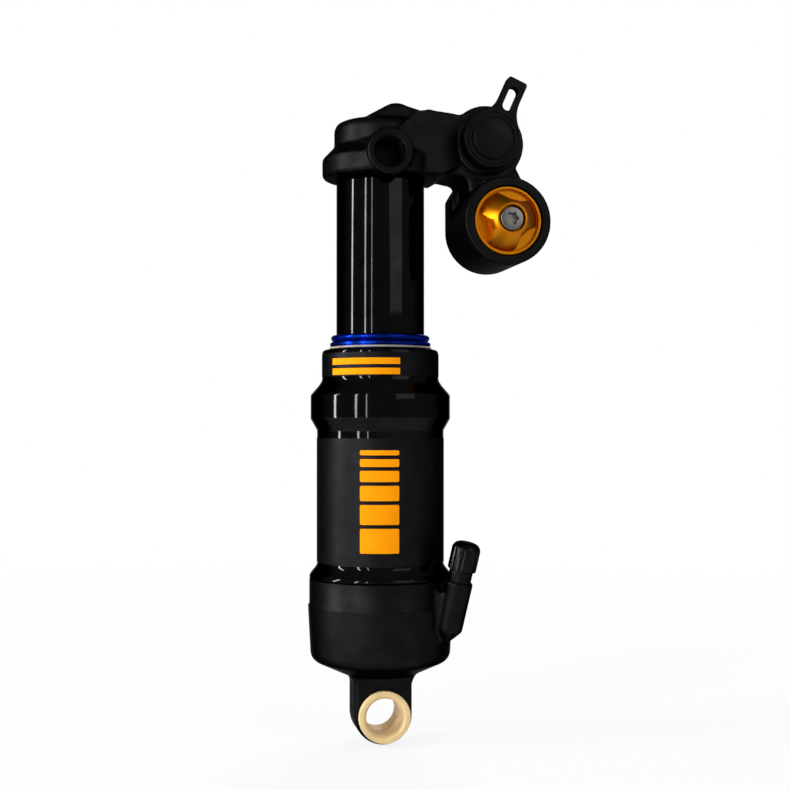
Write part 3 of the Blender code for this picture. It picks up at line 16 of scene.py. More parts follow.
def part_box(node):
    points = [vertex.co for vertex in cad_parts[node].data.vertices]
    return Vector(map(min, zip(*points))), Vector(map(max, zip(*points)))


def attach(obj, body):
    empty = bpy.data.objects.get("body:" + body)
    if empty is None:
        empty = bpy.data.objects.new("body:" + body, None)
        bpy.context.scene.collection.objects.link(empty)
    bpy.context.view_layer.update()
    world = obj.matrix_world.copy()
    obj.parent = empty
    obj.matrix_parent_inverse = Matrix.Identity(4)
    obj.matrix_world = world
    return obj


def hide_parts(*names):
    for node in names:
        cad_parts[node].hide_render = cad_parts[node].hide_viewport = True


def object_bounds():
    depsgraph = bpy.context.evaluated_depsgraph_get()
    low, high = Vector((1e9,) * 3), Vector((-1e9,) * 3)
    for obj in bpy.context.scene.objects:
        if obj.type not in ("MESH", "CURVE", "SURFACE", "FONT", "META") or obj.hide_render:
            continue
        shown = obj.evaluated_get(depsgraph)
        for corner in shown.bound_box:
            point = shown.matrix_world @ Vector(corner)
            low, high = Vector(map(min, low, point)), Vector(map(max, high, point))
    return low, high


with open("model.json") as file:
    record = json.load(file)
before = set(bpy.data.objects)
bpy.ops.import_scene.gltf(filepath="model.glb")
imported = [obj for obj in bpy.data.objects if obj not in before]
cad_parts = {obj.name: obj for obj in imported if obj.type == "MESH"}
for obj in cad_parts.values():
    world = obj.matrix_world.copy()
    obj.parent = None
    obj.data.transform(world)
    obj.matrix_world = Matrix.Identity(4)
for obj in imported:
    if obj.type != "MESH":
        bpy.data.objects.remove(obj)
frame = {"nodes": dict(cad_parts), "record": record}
cad_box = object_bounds()
MM = 0.001
print("CAD box", [[round(value / MM, 1) for value in corner] for corner in cad_box])

# %% [markdown]
# ## Finishes
# Every finish starts from the same three layers: a slow drift of colour, a drift of roughness, and a fine
# grain that lifts the surface. Image textures could do this, but noise on Object coordinates needs no
# unwrapping and keeps its real size on every piece.

# %% A finish with drift and grain
COLOUR_PATCH = 6
GLOSS_PATCH = 2.5


def finish(name, colour, roughness, metallic=0.0, grain=0.25, height=0.004, tone=0.2, drift=0.05,
           specular=0.5, rim=1.0):
    """A procedural finish. Grain and its height are sizes, tone varies the colour, drift the roughness."""
    material = bpy.data.materials.new(name)
    material.use_nodes = True
    nodes = material.node_tree.nodes
    links = material.node_tree.links
    shader = nodes["Principled BSDF"]
    shader.inputs["Metallic"].default_value = metallic
    shader.inputs["Specular IOR Level"].default_value = specular
    shader.inputs["Specular Tint"].default_value = (rim, rim, rim, 1)
    place = nodes.new("ShaderNodeTexCoord")

    def noise(size, detail):
        texture = nodes.new("ShaderNodeTexNoise")
        texture.inputs["Scale"].default_value = 1 / (size * MM)
        texture.inputs["Detail"].default_value = detail
        links.new(place.outputs["Object"], texture.inputs["Vector"])
        return texture.outputs["Fac"]

    ramp = nodes.new("ShaderNodeValToRGB")
    ramp.color_ramp.elements[0].position = 0.3
    ramp.color_ramp.elements[1].position = 0.7
    ramp.color_ramp.elements[0].color = (*[part * (1 - tone) for part in colour], 1)
    ramp.color_ramp.elements[1].color = (*[min(1, part * (1 + tone)) for part in colour], 1)
    links.new(noise(COLOUR_PATCH, 4), ramp.inputs["Fac"])
    links.new(ramp.outputs["Color"], shader.inputs["Base Color"])

    spread = nodes.new("ShaderNodeMapRange")
    spread.inputs["To Min"].default_value = roughness - drift
    spread.inputs["To Max"].default_value = roughness + drift
    links.new(noise(GLOSS_PATCH, 5), spread.inputs["Value"])
    links.new(spread.outputs["Result"], shader.inputs["Roughness"])

    bump = nodes.new("ShaderNodeBump")
    bump.inputs["Distance"].default_value = height * MM
    links.new(noise(grain, 3), bump.inputs["Height"])
    links.new(bump.outputs["Normal"], shader.inputs["Normal"])
    return material


print("colour drifts over", COLOUR_PATCH, "mm and gloss over", GLOSS_PATCH, "mm")

# %% [markdown]
# Most of a shock is black: satin anodising on the forgings, polish on tube and can, a matte film, mouldings
# and rubber. A plain black plastic catches a pale rim wherever it turns away from the eye. All but the
# rubber are therefore metals of a very dark colour, whose tint keeps the rim dark as well.

# %% Blacks
BLACK_RIM = 0.25
satin_black = finish("satin_black", (0.010, 0.010, 0.0107), roughness=0.42, metallic=1,
                     grain=0.3, height=0.018, rim=BLACK_RIM)
gloss_black = finish("gloss_black", (0.012, 0.012, 0.013), roughness=0.06, metallic=1,
                     grain=1.5, height=0.001, drift=0.03, rim=BLACK_RIM)
film_black = finish("film_black", (0.011, 0.011, 0.0118), roughness=0.46, metallic=1,
                    grain=0.2, height=0.008, rim=BLACK_RIM)
moulded_black = finish("moulded_black", (0.011, 0.011, 0.012), roughness=0.22, metallic=1,
                       grain=0.35, height=0.014, rim=BLACK_RIM)
rubber_black = finish("rubber_black", (0.018, 0.018, 0.018), roughness=0.75, grain=0.3, height=0.02)
blacks = (satin_black, gloss_black, film_black, moulded_black, rubber_black)
print("blacks", [black.name for black in blacks])

# %% [markdown]
# The other finishes are small accents: a blue seal with a dark rim as well, orange print with hardly any
# shine, pale polymers and bare metals. They differ only in numbers, so the same function serves them all.

# %% Seal, print, polymers and bare metals
seal_blue = finish("seal_blue", (0.002, 0.015, 0.19), roughness=0.28, metallic=1,
                   grain=0.4, height=0.01, rim=0.4)
print_orange = finish("print_orange", (0.88, 0.295, 0.002), roughness=0.45,
                      grain=0.2, height=0.004, tone=0.06, specular=0.02)
polymer_cream = finish("polymer_cream", (0.78, 0.58, 0.28), roughness=0.4,
                       grain=0.4, height=0.01, tone=0.08)
ring_pale = finish("ring_pale", (0.36, 0.31, 0.25), roughness=0.35,
                   grain=0.4, height=0.006, tone=0.06)
steel = finish("ground_steel", (0.36, 0.35, 0.34), roughness=0.3, metallic=1,
               grain=0.15, height=0.004, tone=0.06)
aluminium = finish("machined_aluminium", (0.72, 0.72, 0.74), roughness=0.34, metallic=1,
                   grain=0.2, height=0.005, tone=0.05)
screw_steel = finish("screw_steel", (0.19, 0.18, 0.165), roughness=0.3, metallic=1,
                     grain=0.2, height=0.005, tone=0.08)
brass = finish("turned_brass", (0.62, 0.42, 0.14), roughness=0.3, metallic=1,
               grain=0.2, height=0.004, tone=0.06)
accents = (seal_blue, print_orange, polymer_cream, ring_pale, steel, aluminium, screw_steel, brass)
print("accents", [accent.name for accent in accents])

# %% [markdown]
# Turned metal shows the tool's path as fine rings about its axis. Cut as real grooves they would need a
# great many faces, so a Wave texture in ring form takes the place of the grain. A Mapping node centres it
# on the axis of the dial.

# %% Gold with the rings left by the lathe
RESERVOIR_AXIS = (39.4 * MM, 0, 163.6 * MM)
WAVE_PERIOD = math.pi / 10  # the length in metres of one wave at a scale of 1


def turned_rings(material, centre, direction, pitch, height):
    """Swap a finish's grain for rings about an axis through centre."""
    nodes = material.node_tree.nodes
    links = material.node_tree.links
    place = nodes.new("ShaderNodeTexCoord")
    shift = nodes.new("ShaderNodeMapping")
    shift.inputs["Location"].default_value = -Vector(centre)
    rings = nodes.new("ShaderNodeTexWave")
    rings.wave_type = "RINGS"
    rings.rings_direction = direction
    rings.inputs["Scale"].default_value = WAVE_PERIOD / (pitch * MM)
    rings.inputs["Distortion"].default_value = 0.4
    bump = nodes["Bump"]
    bump.inputs["Distance"].default_value = height * MM
    links.new(place.outputs["Object"], shift.inputs["Vector"])
    links.new(shift.outputs["Vector"], rings.inputs["Vector"])
    links.new(rings.outputs["Fac"], bump.inputs["Height"])


gold = finish("gold_anodised", (0.56, 0.185, 0.004), roughness=0.36, metallic=1, tone=0.05)
turned_rings(gold, RESERVOIR_AXIS, "Y", pitch=0.16, height=0.003)
print(gold.name, "with", len(gold.node_tree.nodes), "nodes")

# %% [markdown]
# ## Turned pieces
# Most of a shock is turned on a lathe, so a half section spun about an axis is the natural tool. The corners
# are bevelled after the spin, because a real edge is never perfectly sharp, and its highlight is what shows
# it.

# %% Tools for turned pieces
SPIN_STEPS = 128
SHARP_ANGLE = math.radians(40)
MERGE = 1e-7  # metres


def to_piece(name, shape, place=Matrix()):
    """Put a bmesh in its place and turn it into a smooth-shaded object at the origin."""
    bmesh.ops.remove_doubles(shape, verts=shape.verts, dist=MERGE)
    bmesh.ops.recalc_face_normals(shape, faces=shape.faces)
    bmesh.ops.transform(shape, matrix=place, verts=shape.verts)
    mesh = bpy.data.meshes.new(name)
    shape.to_mesh(mesh)
    shape.free()
    mesh.shade_smooth()
    mesh.set_sharp_from_angle(angle=SHARP_ANGLE)
    piece = bpy.data.objects.new(name, mesh)
    bpy.context.scene.collection.objects.link(piece)
    return piece


def soften(shape, edge, least=25):
    """Round every edge that turns by more than the least angle."""
    bmesh.ops.remove_doubles(shape, verts=shape.verts, dist=MERGE)
    bmesh.ops.recalc_face_normals(shape, faces=shape.faces)
    corners = [line for line in shape.edges if line.calc_face_angle(0) > math.radians(least)]
    bmesh.ops.bevel(shape, geom=corners, offset=edge * MM, offset_type="OFFSET", affect="EDGES",
                    segments=3, profile=0.5, material=-1, clamp_overlap=True)


def spun(name, profile, place=Matrix(), edge=0.0, steps=SPIN_STEPS):
    """Spin (radius, height) points about local Z. A profile that stays off the axis is closed first."""
    shape = bmesh.new()
    points = [shape.verts.new((radius * MM, 0, height * MM)) for radius, height in profile]
    lines = [shape.edges.new(pair) for pair in zip(points, points[1:])]
    if all(radius > 0 for radius, _ in profile):
        lines.append(shape.edges.new((points[-1], points[0])))
    bmesh.ops.spin(shape, geom=points + lines, cent=(0, 0, 0), axis=(0, 0, 1), angle=2 * math.pi,
                   steps=steps, use_merge=True)
    if edge:
        soften(shape, edge)
    return to_piece(name, shape, place)


def band(inner, outer, low, high):
    """The profile of a plain ring or tube."""
    return [(inner, low), (outer, low), (outer, high), (inner, high)]


print("turned pieces have", SPIN_STEPS, "sides")

# %% [markdown]
# ## Air can
# The can is a polished black sleeve: a neck, a shoulder, a collar, the long barrel and a flare above the end
# cap. Rings stacked on each other would leave seams, so one spin makes it all. The bore is kept, so that the
# tube really enters it.

# %% Turn the air can
CAN_TOP = 121.6
CAN_RADIUS = 21.25
NECK_RADIUS = 19.5
COLLAR_RADIUS = 23.4
FLARE_BOTTOM = 45.7
FLARE_RISE = 4.9
FLARE_REACH = 2.65
FLARE_STEPS = 16
SPIGOT_RADIUS = 20.2
SPIGOT_BOTTOM = 30.7
CAN_BORE = 18.2
GUIDE_BORE = 15.65
WIPER_SEAT = 17.4


def dress(piece, material, body, slot, *nodes):
    """Give a piece its finish, the body it rides on and the CAD nodes it stands for."""
    piece.data.materials.clear()
    piece.data.materials.append(material)
    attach(piece, body)
    if nodes:
        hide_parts(*nodes)
    print(piece.name, len(piece.data.polygons), "faces")


neck = [(WIPER_SEAT, CAN_TOP), (18.6, CAN_TOP), (19.25, 121.3), (NECK_RADIUS, 120.6),
        (NECK_RADIUS, 112.3)]
collar = [(19.75, 111.1), (20.6, 109.8), (22.9, 107.1), (COLLAR_RADIUS, 106.5), (COLLAR_RADIUS, 98.6)]
flare = [(CAN_RADIUS + FLARE_REACH * (1 - math.cos(math.pi * step / FLARE_STEPS)) / 2,
          FLARE_BOTTOM + FLARE_RISE * (1 - step / FLARE_STEPS)) for step in range(FLARE_STEPS + 1)]
spigot = [(SPIGOT_RADIUS, FLARE_BOTTOM), (SPIGOT_RADIUS, SPIGOT_BOTTOM)]
bores = [(CAN_BORE, SPIGOT_BOTTOM), (CAN_BORE, 100.6), (GUIDE_BORE, 100.6), (GUIDE_BORE, 103.6),
         (WIPER_SEAT, 103.6)]
can = spun("air_can_shell", neck + collar + [(CAN_RADIUS, 94.8)] + flare + spigot + bores, edge=0.35)
dress(can, gloss_black, "can", "black_gloss", "air_can")

# %% [markdown]
# The barrel and the neck wear a thin matte film. It could be painted on in the material, but a film with a
# real edge catches the light there. It sinks a little into the can, so that no gap shows.

# %% Film on barrel and neck
FILM_PROUD = 0.12
SINK = 0.05
FILMS = (("can_film", CAN_RADIUS, 50.8, 92.2), ("neck_film", NECK_RADIUS, 112.5, 120.2))
for name, radius, low, high in FILMS:
    film = spun(name, band(radius - SINK, radius + FILM_PROUD, low, high))
    dress(film, film_black, "can", "black_plastic")

# %% [markdown]
# On the barrel is a plain stack of orange blocks that thins out upwards, and on the neck are two orange
# stripes. Each is a thin sheet bent round the can: a flat grid whose x is turned into an angle. Cutting them
# out of a tube would need booleans, and the grid's corners are easily rounded while it is still flat.

# %% Tool for bent sheets
PRINT_PROUD = 0.06


def bent(name, radius, start, end, low, high, corner=0.0):
    """A thin sheet on a cylinder, from start to end degrees from the front and from low to high."""
    width = radius * math.radians(end - start)
    middle = math.radians(start + end) / 2
    tall = high - low
    shape = bmesh.new()
    bmesh.ops.create_grid(shape, x_segments=1, y_segments=1, size=0.5)
    bmesh.ops.scale(shape, vec=(width * MM, tall * MM, 1), verts=shape.verts)
    if corner:
        bmesh.ops.bevel(shape, geom=shape.verts[:], offset=corner * MM, offset_type="OFFSET",
                        affect="VERTICES", segments=8, profile=0.5, material=-1)
    slices = max(4, int(width))
    for step in range(1, slices):
        bmesh.ops.bisect_plane(shape, geom=shape.verts[:] + shape.edges[:] + shape.faces[:], dist=MERGE,
                               plane_co=((step / slices - 0.5) * width * MM, 0, 0), plane_no=(1, 0, 0))
    sheet = bmesh.ops.extrude_face_region(shape, geom=shape.faces[:])["geom"]
    top = {part for part in sheet if isinstance(part, bmesh.types.BMVert)}
    for vert in shape.verts:
        turn = middle + vert.co.x / (radius * MM)
        reach = (radius + (PRINT_PROUD if vert in top else -SINK)) * MM
        rise = vert.co.y + (low + high) / 2 * MM
        vert.co = Vector((reach * math.sin(turn), -reach * math.cos(turn), rise))
    return to_piece(name, shape)


print("print stands", PRINT_PROUD, "mm proud of the film")

# %% Stripes and blocks
STRIPES = ((116.2, 118.3), (112.9, 115.0))
STRIPE_START = -62.3
STRIPE_END = 9.3
BLOCK_HEIGHTS = (8.0, 6.4, 4.9, 3.6, 2.5, 1.6)
BLOCK_START = -27.5
BLOCK_END = 6.8
BLOCK_GAP = 1.24
for count, (low, high) in enumerate(STRIPES, 1):
    stripe = bent("neck_stripe_%d" % count, NECK_RADIUS + FILM_PROUD, STRIPE_START, STRIPE_END, low, high)
    dress(stripe, print_orange, "can", "gold_anodised")
low = 55.2
for count, tall in enumerate(BLOCK_HEIGHTS, 1):
    block = bent("film_block_%d" % count, CAN_RADIUS + FILM_PROUD, BLOCK_START, BLOCK_END, low, low + tall,
                 corner=0.5)
    dress(block, print_orange, "can", "gold_anodised")
    low += tall + BLOCK_GAP

# %% [markdown]
# ## Tube, wiper and retaining ring
# The damper tube slides through a blue wiper that a pale wire ring holds in the neck. All three are turned
# shapes. The lip of the wiper is an arc in its section, because a bevel on such a small rim is less sure.

# %% Turn the tube, the wiper and the ring
TUBE_BORE = 13.75
TUBE_RADIUS = 14.75
WIPER_BORE = 15.05
WIRE_RADIUS = 0.38


def arc(x, y, radius, start, end, count):
    """Points on an arc about (x, y), ends included."""
    turns = [math.radians(start + (end - start) * step / count) for step in range(count + 1)]
    return [(x + radius * math.cos(turn), y + radius * math.sin(turn)) for turn in turns]


tube = spun("tube_sleeve", band(TUBE_BORE, TUBE_RADIUS, 87.1, 179.2), edge=0.2)
dress(tube, gloss_black, "damper", "black_gloss", "damper_tube")
wiper_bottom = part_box("dust_wiper")[0][2] / MM
foot = [(WIPER_BORE, wiper_bottom), (17.1, wiper_bottom), (17.1, 120.6), (16.3, 120.8)]
bead = [(16.7, 121.2), (16.7, 121.5), (16.3, 121.6), (16.3, 122.8)]
lip = [(16.85, 123.0), (16.9, 123.8), (16.5, 124.1), (16.0, 124.3)] + arc(15.6, 125.5, 0.95, -50, 90, 10)
wiper = spun("wiper_lip", foot + bead + lip + [(WIPER_BORE, 126.2)])
dress(wiper, seal_blue, "can", "blue_seal", "dust_wiper")
ring_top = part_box("wiper_retaining_ring")[1][2] / MM
ring = spun("retaining_ring", arc(16.82, ring_top - 0.1, WIRE_RADIUS, 0, 330, 11))
dress(ring, ring_pale, "can", "pale_ring", "wiper_retaining_ring")

# %% [markdown]
# ## Lower end cap
# The cap is machined from a forging: the eyelet lug and the valve boss run into it with soft fillets.
# Bevelling every join by hand is fragile, so the lumps are melted together on a fine voxel grid, and the
# bores are cut after that.

# %% Tools for lumps with an outline
TO_VIEWER = Matrix.Rotation(math.pi / 2, 4, "X")
OUTLINE_CORNER = 50


def extruded(name, outline, low, high, place=Matrix(), edge=0.0):
    """Lift an outline along local Z and round its rims."""
    shape = bmesh.new()
    base = shape.faces.new([shape.verts.new((x * MM, y * MM, low * MM)) for x, y in outline])
    lifted = bmesh.ops.extrude_face_region(shape, geom=[base])["geom"]
    roof = [part for part in lifted if isinstance(part, bmesh.types.BMVert)]
    bmesh.ops.translate(shape, verts=roof, vec=(0, 0, (high - low) * MM))
    if edge:
        soften(shape, edge, OUTLINE_CORNER)
    return to_piece(name, shape, place)


def plug(radius, low, high):
    """The profile of a plain solid cylinder."""
    return [(0, low), (radius, low), (radius, high), (0, high)]


print("rims are rounded where they turn by more than", OUTLINE_CORNER, "degrees")

# %% Tools for melting and cutting
VOXEL = 0.5


def applied(piece):
    """Make a piece's modifiers part of its mesh."""
    bpy.context.view_layer.update()
    mesh = bpy.data.meshes.new_from_object(piece.evaluated_get(bpy.context.evaluated_depsgraph_get()))
    piece.modifiers.clear()
    piece.data = mesh
    mesh.shade_smooth()
    mesh.set_sharp_from_angle(angle=SHARP_ANGLE)
    return piece


def cut(piece, tool, operation="DIFFERENCE"):
    """Cut a tool out of a piece, join it on, or keep what they share."""
    shaping = piece.modifiers.new("shape", "BOOLEAN")
    shaping.operation = operation
    shaping.solver = "EXACT"
    shaping.object = tool
    applied(piece)
    bpy.data.objects.remove(tool, do_unlink=True)


def forged(name, lumps, rounds):
    """Melt overlapping lumps into one body with soft fillets where they meet."""
    shape = bmesh.new()
    for lump in lumps:
        shape.from_mesh(lump.data)
        bpy.data.objects.remove(lump, do_unlink=True)
    piece = to_piece(name, shape)
    melt = piece.modifiers.new("melt", "REMESH")
    melt.mode = "VOXEL"
    melt.voxel_size = VOXEL * MM
    settle = piece.modifiers.new("settle", "SMOOTH")
    settle.factor = 0.5
    settle.iterations = rounds
    return applied(piece)


print("forgings are melted on a grid of", VOXEL, "mm")

# %% Forge the end cap
VALVE_TURN = -40
VALVE_LEAN = 14
VALVE = (Matrix.Rotation(math.radians(VALVE_TURN), 4, "Z") @ Matrix.Translation((29.4 * MM, 0, 44.6 * MM))
         @ Matrix.Rotation(math.radians(VALVE_LEAN), 4, "Y"))
END_CAP_BOTTOM = 13
END_CAP_TOP = 45.4
END_CAP_RADIUS = 24.3
LUG_RADIUS = 9.6
LUG_HALF = 7.3
bowl = [(0, END_CAP_BOTTOM), (11.4, END_CAP_BOTTOM)] + arc(19.8, 20.9, 3.7, -62, 0, 10)
wall = [(END_CAP_RADIUS, 36.4), (END_CAP_RADIUS, END_CAP_TOP), (0, END_CAP_TOP)]
cap_lump = spun("cap_lump", bowl + wall)
lug_side = [(LUG_RADIUS, 10.5), (10.6, 12.8), (12, 14.5), (12, 19)]
lug_line = arc(0, 0, LUG_RADIUS, 180, 360, 40) + lug_side + [(-x, y) for x, y in reversed(lug_side)]
lug = extruded("lug", lug_line, -LUG_HALF, LUG_HALF, TO_VIEWER, edge=1.0)
boss_side = [(0, -19.5), (1.2, -19.5), (4.6, -15.2), (4.7, 1.3), (0, 1.3)]
boss = spun("boss", boss_side, VALVE, edge=0.3, steps=48)
web = extruded("web", [(0, -3.6), (0, 3.6), (-14, 8.5), (-14, -8.5)], -14, -3.2, VALVE)
end_cap = forged("end_cap", [cap_lump, lug, boss, web], rounds=8)
print("melted end cap", len(end_cap.data.polygons), "faces")

# %% [markdown]
# Four cuts finish the cap: the cup that takes the can, the eye, a shallow step round the rim, and the bore of
# the valve. The step stops short of the valve, so a wedge is taken out of its ring before the ring is cut.

# %% Cut the end cap
EYE_RADIUS = 7.8
cut(end_cap, spun("cup", [(0, 18), (4.8, 18), (4.8, 24), (20.5, 24), (20.5, 60), (0, 60)]))
cut(end_cap, spun("eye", plug(EYE_RADIUS, -12, 12), TO_VIEWER))
rim_step = spun("step", [(24.0, 36.3), (26, 36.3), (26, 46), (23.85, 46), (23.85, 36.9), (24.0, 36.7)])
cut(rim_step, extruded("valve_side", [(0, 0), (23.5, -32.4), (36, -17.5)], 30, 50))
cut(end_cap, rim_step)
valve_bore = [(0, -7.3), (3.3, -7.3), (3.3, -0.1), (4, -0.1), (4, 5), (0, 5)]
cut(end_cap, spun("valve_bore", valve_bore, VALVE, steps=48))
dress(end_cap, satin_black, "can", "black_anodised", "lower_end_cap")

# %% [markdown]
# ## Lower bush
# Two flanged polymer halves sit in the eye, one from each side. One half section serves both, with its
# heights turned over for the rear.

# %% Turn the two bush halves
bush_side = [(6.1, 0.15), (7.5, 0.15), (7.5, 7.6), (8.65, 7.6), (8.65, 9.5), (7.0, 9.5), (6.45, 8.9),
             (6.1, 8.4)]
for name, side in (("front", 1), ("rear", -1)):
    half = [(radius, side * height) for radius, height in bush_side]
    bush = spun("bush_" + name, half, TO_VIEWER, edge=0.25)
    dress(bush, polymer_cream, "can", "cream_polymer", "lower_bush_" + name)

# %% [markdown]
# ## Valve cap
# The cap over the air valve is moulded, with grip ribs and a round shoulder. Ribs set one by one on a
# cylinder would meet it at hard corners. Here a wavy outline is extruded, and what it shares with a turned
# shape is kept, so that the ribs run out on the shoulder as moulded ones do.

# %% Mould the valve cap
RIBS = 18
VALVE_CAP_BOTTOM = 5
VALVE_CAP_TOP = 14.2


def wavy(radius, wave, waves, count):
    """A closed outline of count points, whose radius swings by wave."""
    turns = [2 * math.pi * step / count for step in range(count)]
    reaches = [radius + wave * math.cos(waves * turn) for turn in turns]
    return [(reach * math.cos(turn), reach * math.sin(turn)) for reach, turn in zip(reaches, turns)]


ribbed = wavy(4.58, 0.12, RIBS, RIBS * 6)
valve_cap = extruded("ribbed_cap", ribbed, VALVE_CAP_BOTTOM, VALVE_CAP_TOP, VALVE)
cap_side = [(0, VALVE_CAP_BOTTOM), (4.4, VALVE_CAP_BOTTOM), (4.7, 5.3)] + arc(2.2, 11.7, 2.5, 0, 90, 12)
cut(valve_cap, spun("shoulder", cap_side + [(0, VALVE_CAP_TOP)], VALVE), "INTERSECT")
cut(valve_cap, spun("cap_bore", plug(4.15, 4, 12.6), VALVE, steps=48))
dress(valve_cap, moulded_black, "air_valve_cap", "black_plastic", "valve_cap")

# %% [markdown]
# ## Head
# Head, arm and reservoir are one forging with a bead-blasted black finish. It is melted from lumps in the
# same way as the end cap. The yoke has one outline from the front and another from above, so it is what two
# extruded shapes share.

# %% Lumps of the head
TRUNNION = Matrix.Translation((0, 0, 185 * MM)) @ TO_VIEWER
LEVER = Matrix.Translation((34 * MM, 0, 190.2 * MM)) @ TO_VIEWER
RESERVOIR = Matrix.Translation(RESERVOIR_AXIS) @ TO_VIEWER
CROWN_BOTTOM = 178.9
CROWN_TOP = 197.6
ARM_HALF = 11
YOKE_HALF = 17
TRUNNION_HALF = 20.2
BOSS_HALF = 11.6
crown_side = [(0, CROWN_BOTTOM), (18.7, CROWN_BOTTOM), (19.5, 179.8), (19.5, 185.2), (15.5, 189.4),
              (15.5, 195), (14.7, 196.8), (13, CROWN_TOP), (0, CROWN_TOP)]
crown = spun("crown", crown_side)
arm_line = [(-9.4, 11.4)] + arc(3.9, 11.0, 6.9, 120, 62, 8) + [
    (13.5, 15.3), (24.4, 14.7), (34, 17.3), (46.6, -6.4), (46.6, -14.4), (28, -14.4)]
arm_line += arc(24.4, -9.0, 3.2, 0, 90, 8) + [(18.4, -4.6), (-7.7, -4.6)]
arm = extruded("arm", list(reversed(arm_line)), -ARM_HALF, ARM_HALF, TRUNNION, edge=1.6)
yoke_line = [(-15, -4.5), (19, -6), (24, -3), (30, 0), (30, 13.5), (24, 14.4), (13.5, 15.1), (9, 14),
             (3, 8), (-4, 4.5), (-15, 4.3)]
yoke = extruded("yoke", yoke_line, -YOKE_HALF, YOKE_HALF, TRUNNION)
plan = [(-15.5, 5), (-15.5, -5), (-6, -16.5), (6, -16.5), (30, -11), (30, 11), (6, 16.5), (-6, 16.5)]
cut(yoke, extruded("plan", plan, 175, 205), "INTERSECT")
shoulder_line = [(25, -21.4), (39, -21.4), (39, -7), (27.2, -7.2), (24.9, -11.2)]
shoulder = extruded("shoulder", shoulder_line, -13, -2, TRUNNION, edge=0.6)
trunnion = spun("trunnion", plug(7.6, -TRUNNION_HALF, TRUNNION_HALF), TRUNNION, edge=0.5)
lever_boss = spun("lever_boss", plug(12.6, -BOSS_HALF, BOSS_HALF), LEVER)
barrel_side = [(0, -16.2), (13.2, -16.2), (14.5, -12), (14.5, 19.2), (0, 19.2)]
barrel = spun("barrel", barrel_side, RESERVOIR)
head = forged("forged_head", [crown, arm, yoke, shoulder, trunnion, lever_boss, barrel], rounds=6)
print("melted head", len(head.data.polygons), "faces")

# %% [markdown]
# The seat under the lever is turned with crisp edges, so it joins the head after the melting. The bores are
# cut last. The threads in the trunnion are plain grooves, because a helix would not show at this size.

# %% Seat, threads and bores of the head
THREAD_RADIUS = 4.9
THREAD_DEPTH = 0.4
THREAD_START = 9
HALF_PITCH = 0.5
THREAD_STEPS = 21
seat_side = [(0, 9), (10.8, 9), (10.8, 12.2), (10.0, 12.5), (10.0, 13.1), (0, 13.1)]
cut(head, spun("seat_ring", seat_side, LEVER, edge=0.15), "UNION")
cut(head, spun("tube_socket", plug(15.05, 170, 179.5)))
grooves = [(THREAD_RADIUS - THREAD_DEPTH * (step % 2), THREAD_START + HALF_PITCH * step)
           for step in range(THREAD_STEPS)]
thread = [(0, THREAD_START)] + grooves + [(THREAD_RADIUS, 19.4), (5.5, 20), (5.5, 22), (0, 22)]
for side in (1, -1):
    half = [(radius, side * height) for radius, height in thread]
    cut(head, spun("thread", half, TRUNNION, steps=64))
reservoir_bore = [(0, -20), (10.8, -20), (10.8, 13), (11.7, 13), (11.7, 21), (0, 21)]
cut(head, spun("reservoir_bore", reservoir_bore, RESERVOIR))
cut(head, spun("spindle_bore", plug(3.9, -2.9, 15), LEVER, steps=64))
dress(head, satin_black, "damper", "black_anodised", "head")

# %% [markdown]
# ## Compression lever
# A round hub with a slotted thumb tab. The rings round the hub are turned, and the tab is milled from the
# same blank. One outline gives both their flowing join, where two lumps would need a fillet.

# %% Mill the lever
LEVER_ARM = LEVER @ Matrix.Rotation(math.radians(66), 4, "Z")
HUB_RADIUS = 9.5
LEVER_BACK = 13.4
LEVER_FACE = 19.9
RING_LINES = (7.0, 8.3)
RING_WIDTH = 0.4
SLOT_RADIUS = 1.65
flank = arc(14.25, 13.6, 10.2, 223.7, 268, 12)
tip = arc(20.2, -2.4, 1, -90, 0, 6) + arc(20.2, 2.4, 1, 0, 90, 6)
blank = arc(0, 0, HUB_RADIUS, 43.7, 316.3, 56) + [(x, -y) for x, y in flank] + tip + list(reversed(flank))
lever = extruded("thumb_lever", blank, LEVER_BACK, LEVER_FACE, LEVER_ARM, edge=0.5)
cut(lever, spun("rim", plug(6.6, 19, 20.7), LEVER_ARM, edge=0.3), "UNION")
for radius in RING_LINES:
    cut(lever, spun("ring_line", band(radius, radius + RING_WIDTH, 19.5, 21), LEVER_ARM))
tab_slot = arc(16.9, 0, SLOT_RADIUS, -90, 90, 16) + arc(11.9, 0, SLOT_RADIUS, 90, 270, 16)
cut(lever, extruded("slot", tab_slot, 12, 22, LEVER_ARM))
cut(lever, extruded("relief", [(10.5, -7), (24, -7), (24, 7), (10.5, 7)], 12, 16.2, LEVER_ARM))
cut(lever, spun("socket", plug(3.9, 12, 16.65), LEVER_ARM, steps=64))
dress(lever, satin_black, "compression_lever", "black_anodised", "lever")

# %% [markdown]
# ## Rebound dial
# The dial is turned from bright stock and gold anodised, with three lens-shaped pockets milled in its face.
# It is turned and milled here too: a spin, and then a cut for each pocket.

# %% Turn the dial and mill its pockets
POCKETS = 3
FIRST_POCKET = 77
POCKET_FLOOR = 17.3
dial_side = [(2.2, 13.3), (11.2, 13.3), (11.2, 18.6), (10.3, 18.6), (10.3, 17.1), (9.8, 17.1), (9.8, 17.8),
             (5.0, 24.2), (4.45, 24.2), (4.45, 21.2), (2.2, 21.2)]
dial = spun("gold_dial", dial_side, RESERVOIR, edge=0.12)
for count in range(POCKETS):
    middle = FIRST_POCKET + 360 / POCKETS * count
    lens = arc(0, 0, 10.05, middle - 33, middle + 33, 24) + arc(0, 0, 6.7, middle + 16, middle - 16, 1)
    cut(dial, extruded("pocket", lens, POCKET_FLOOR, 26, RESERVOIR))
dress(dial, gold, "dial", "gold_anodised", "rebound_dial")

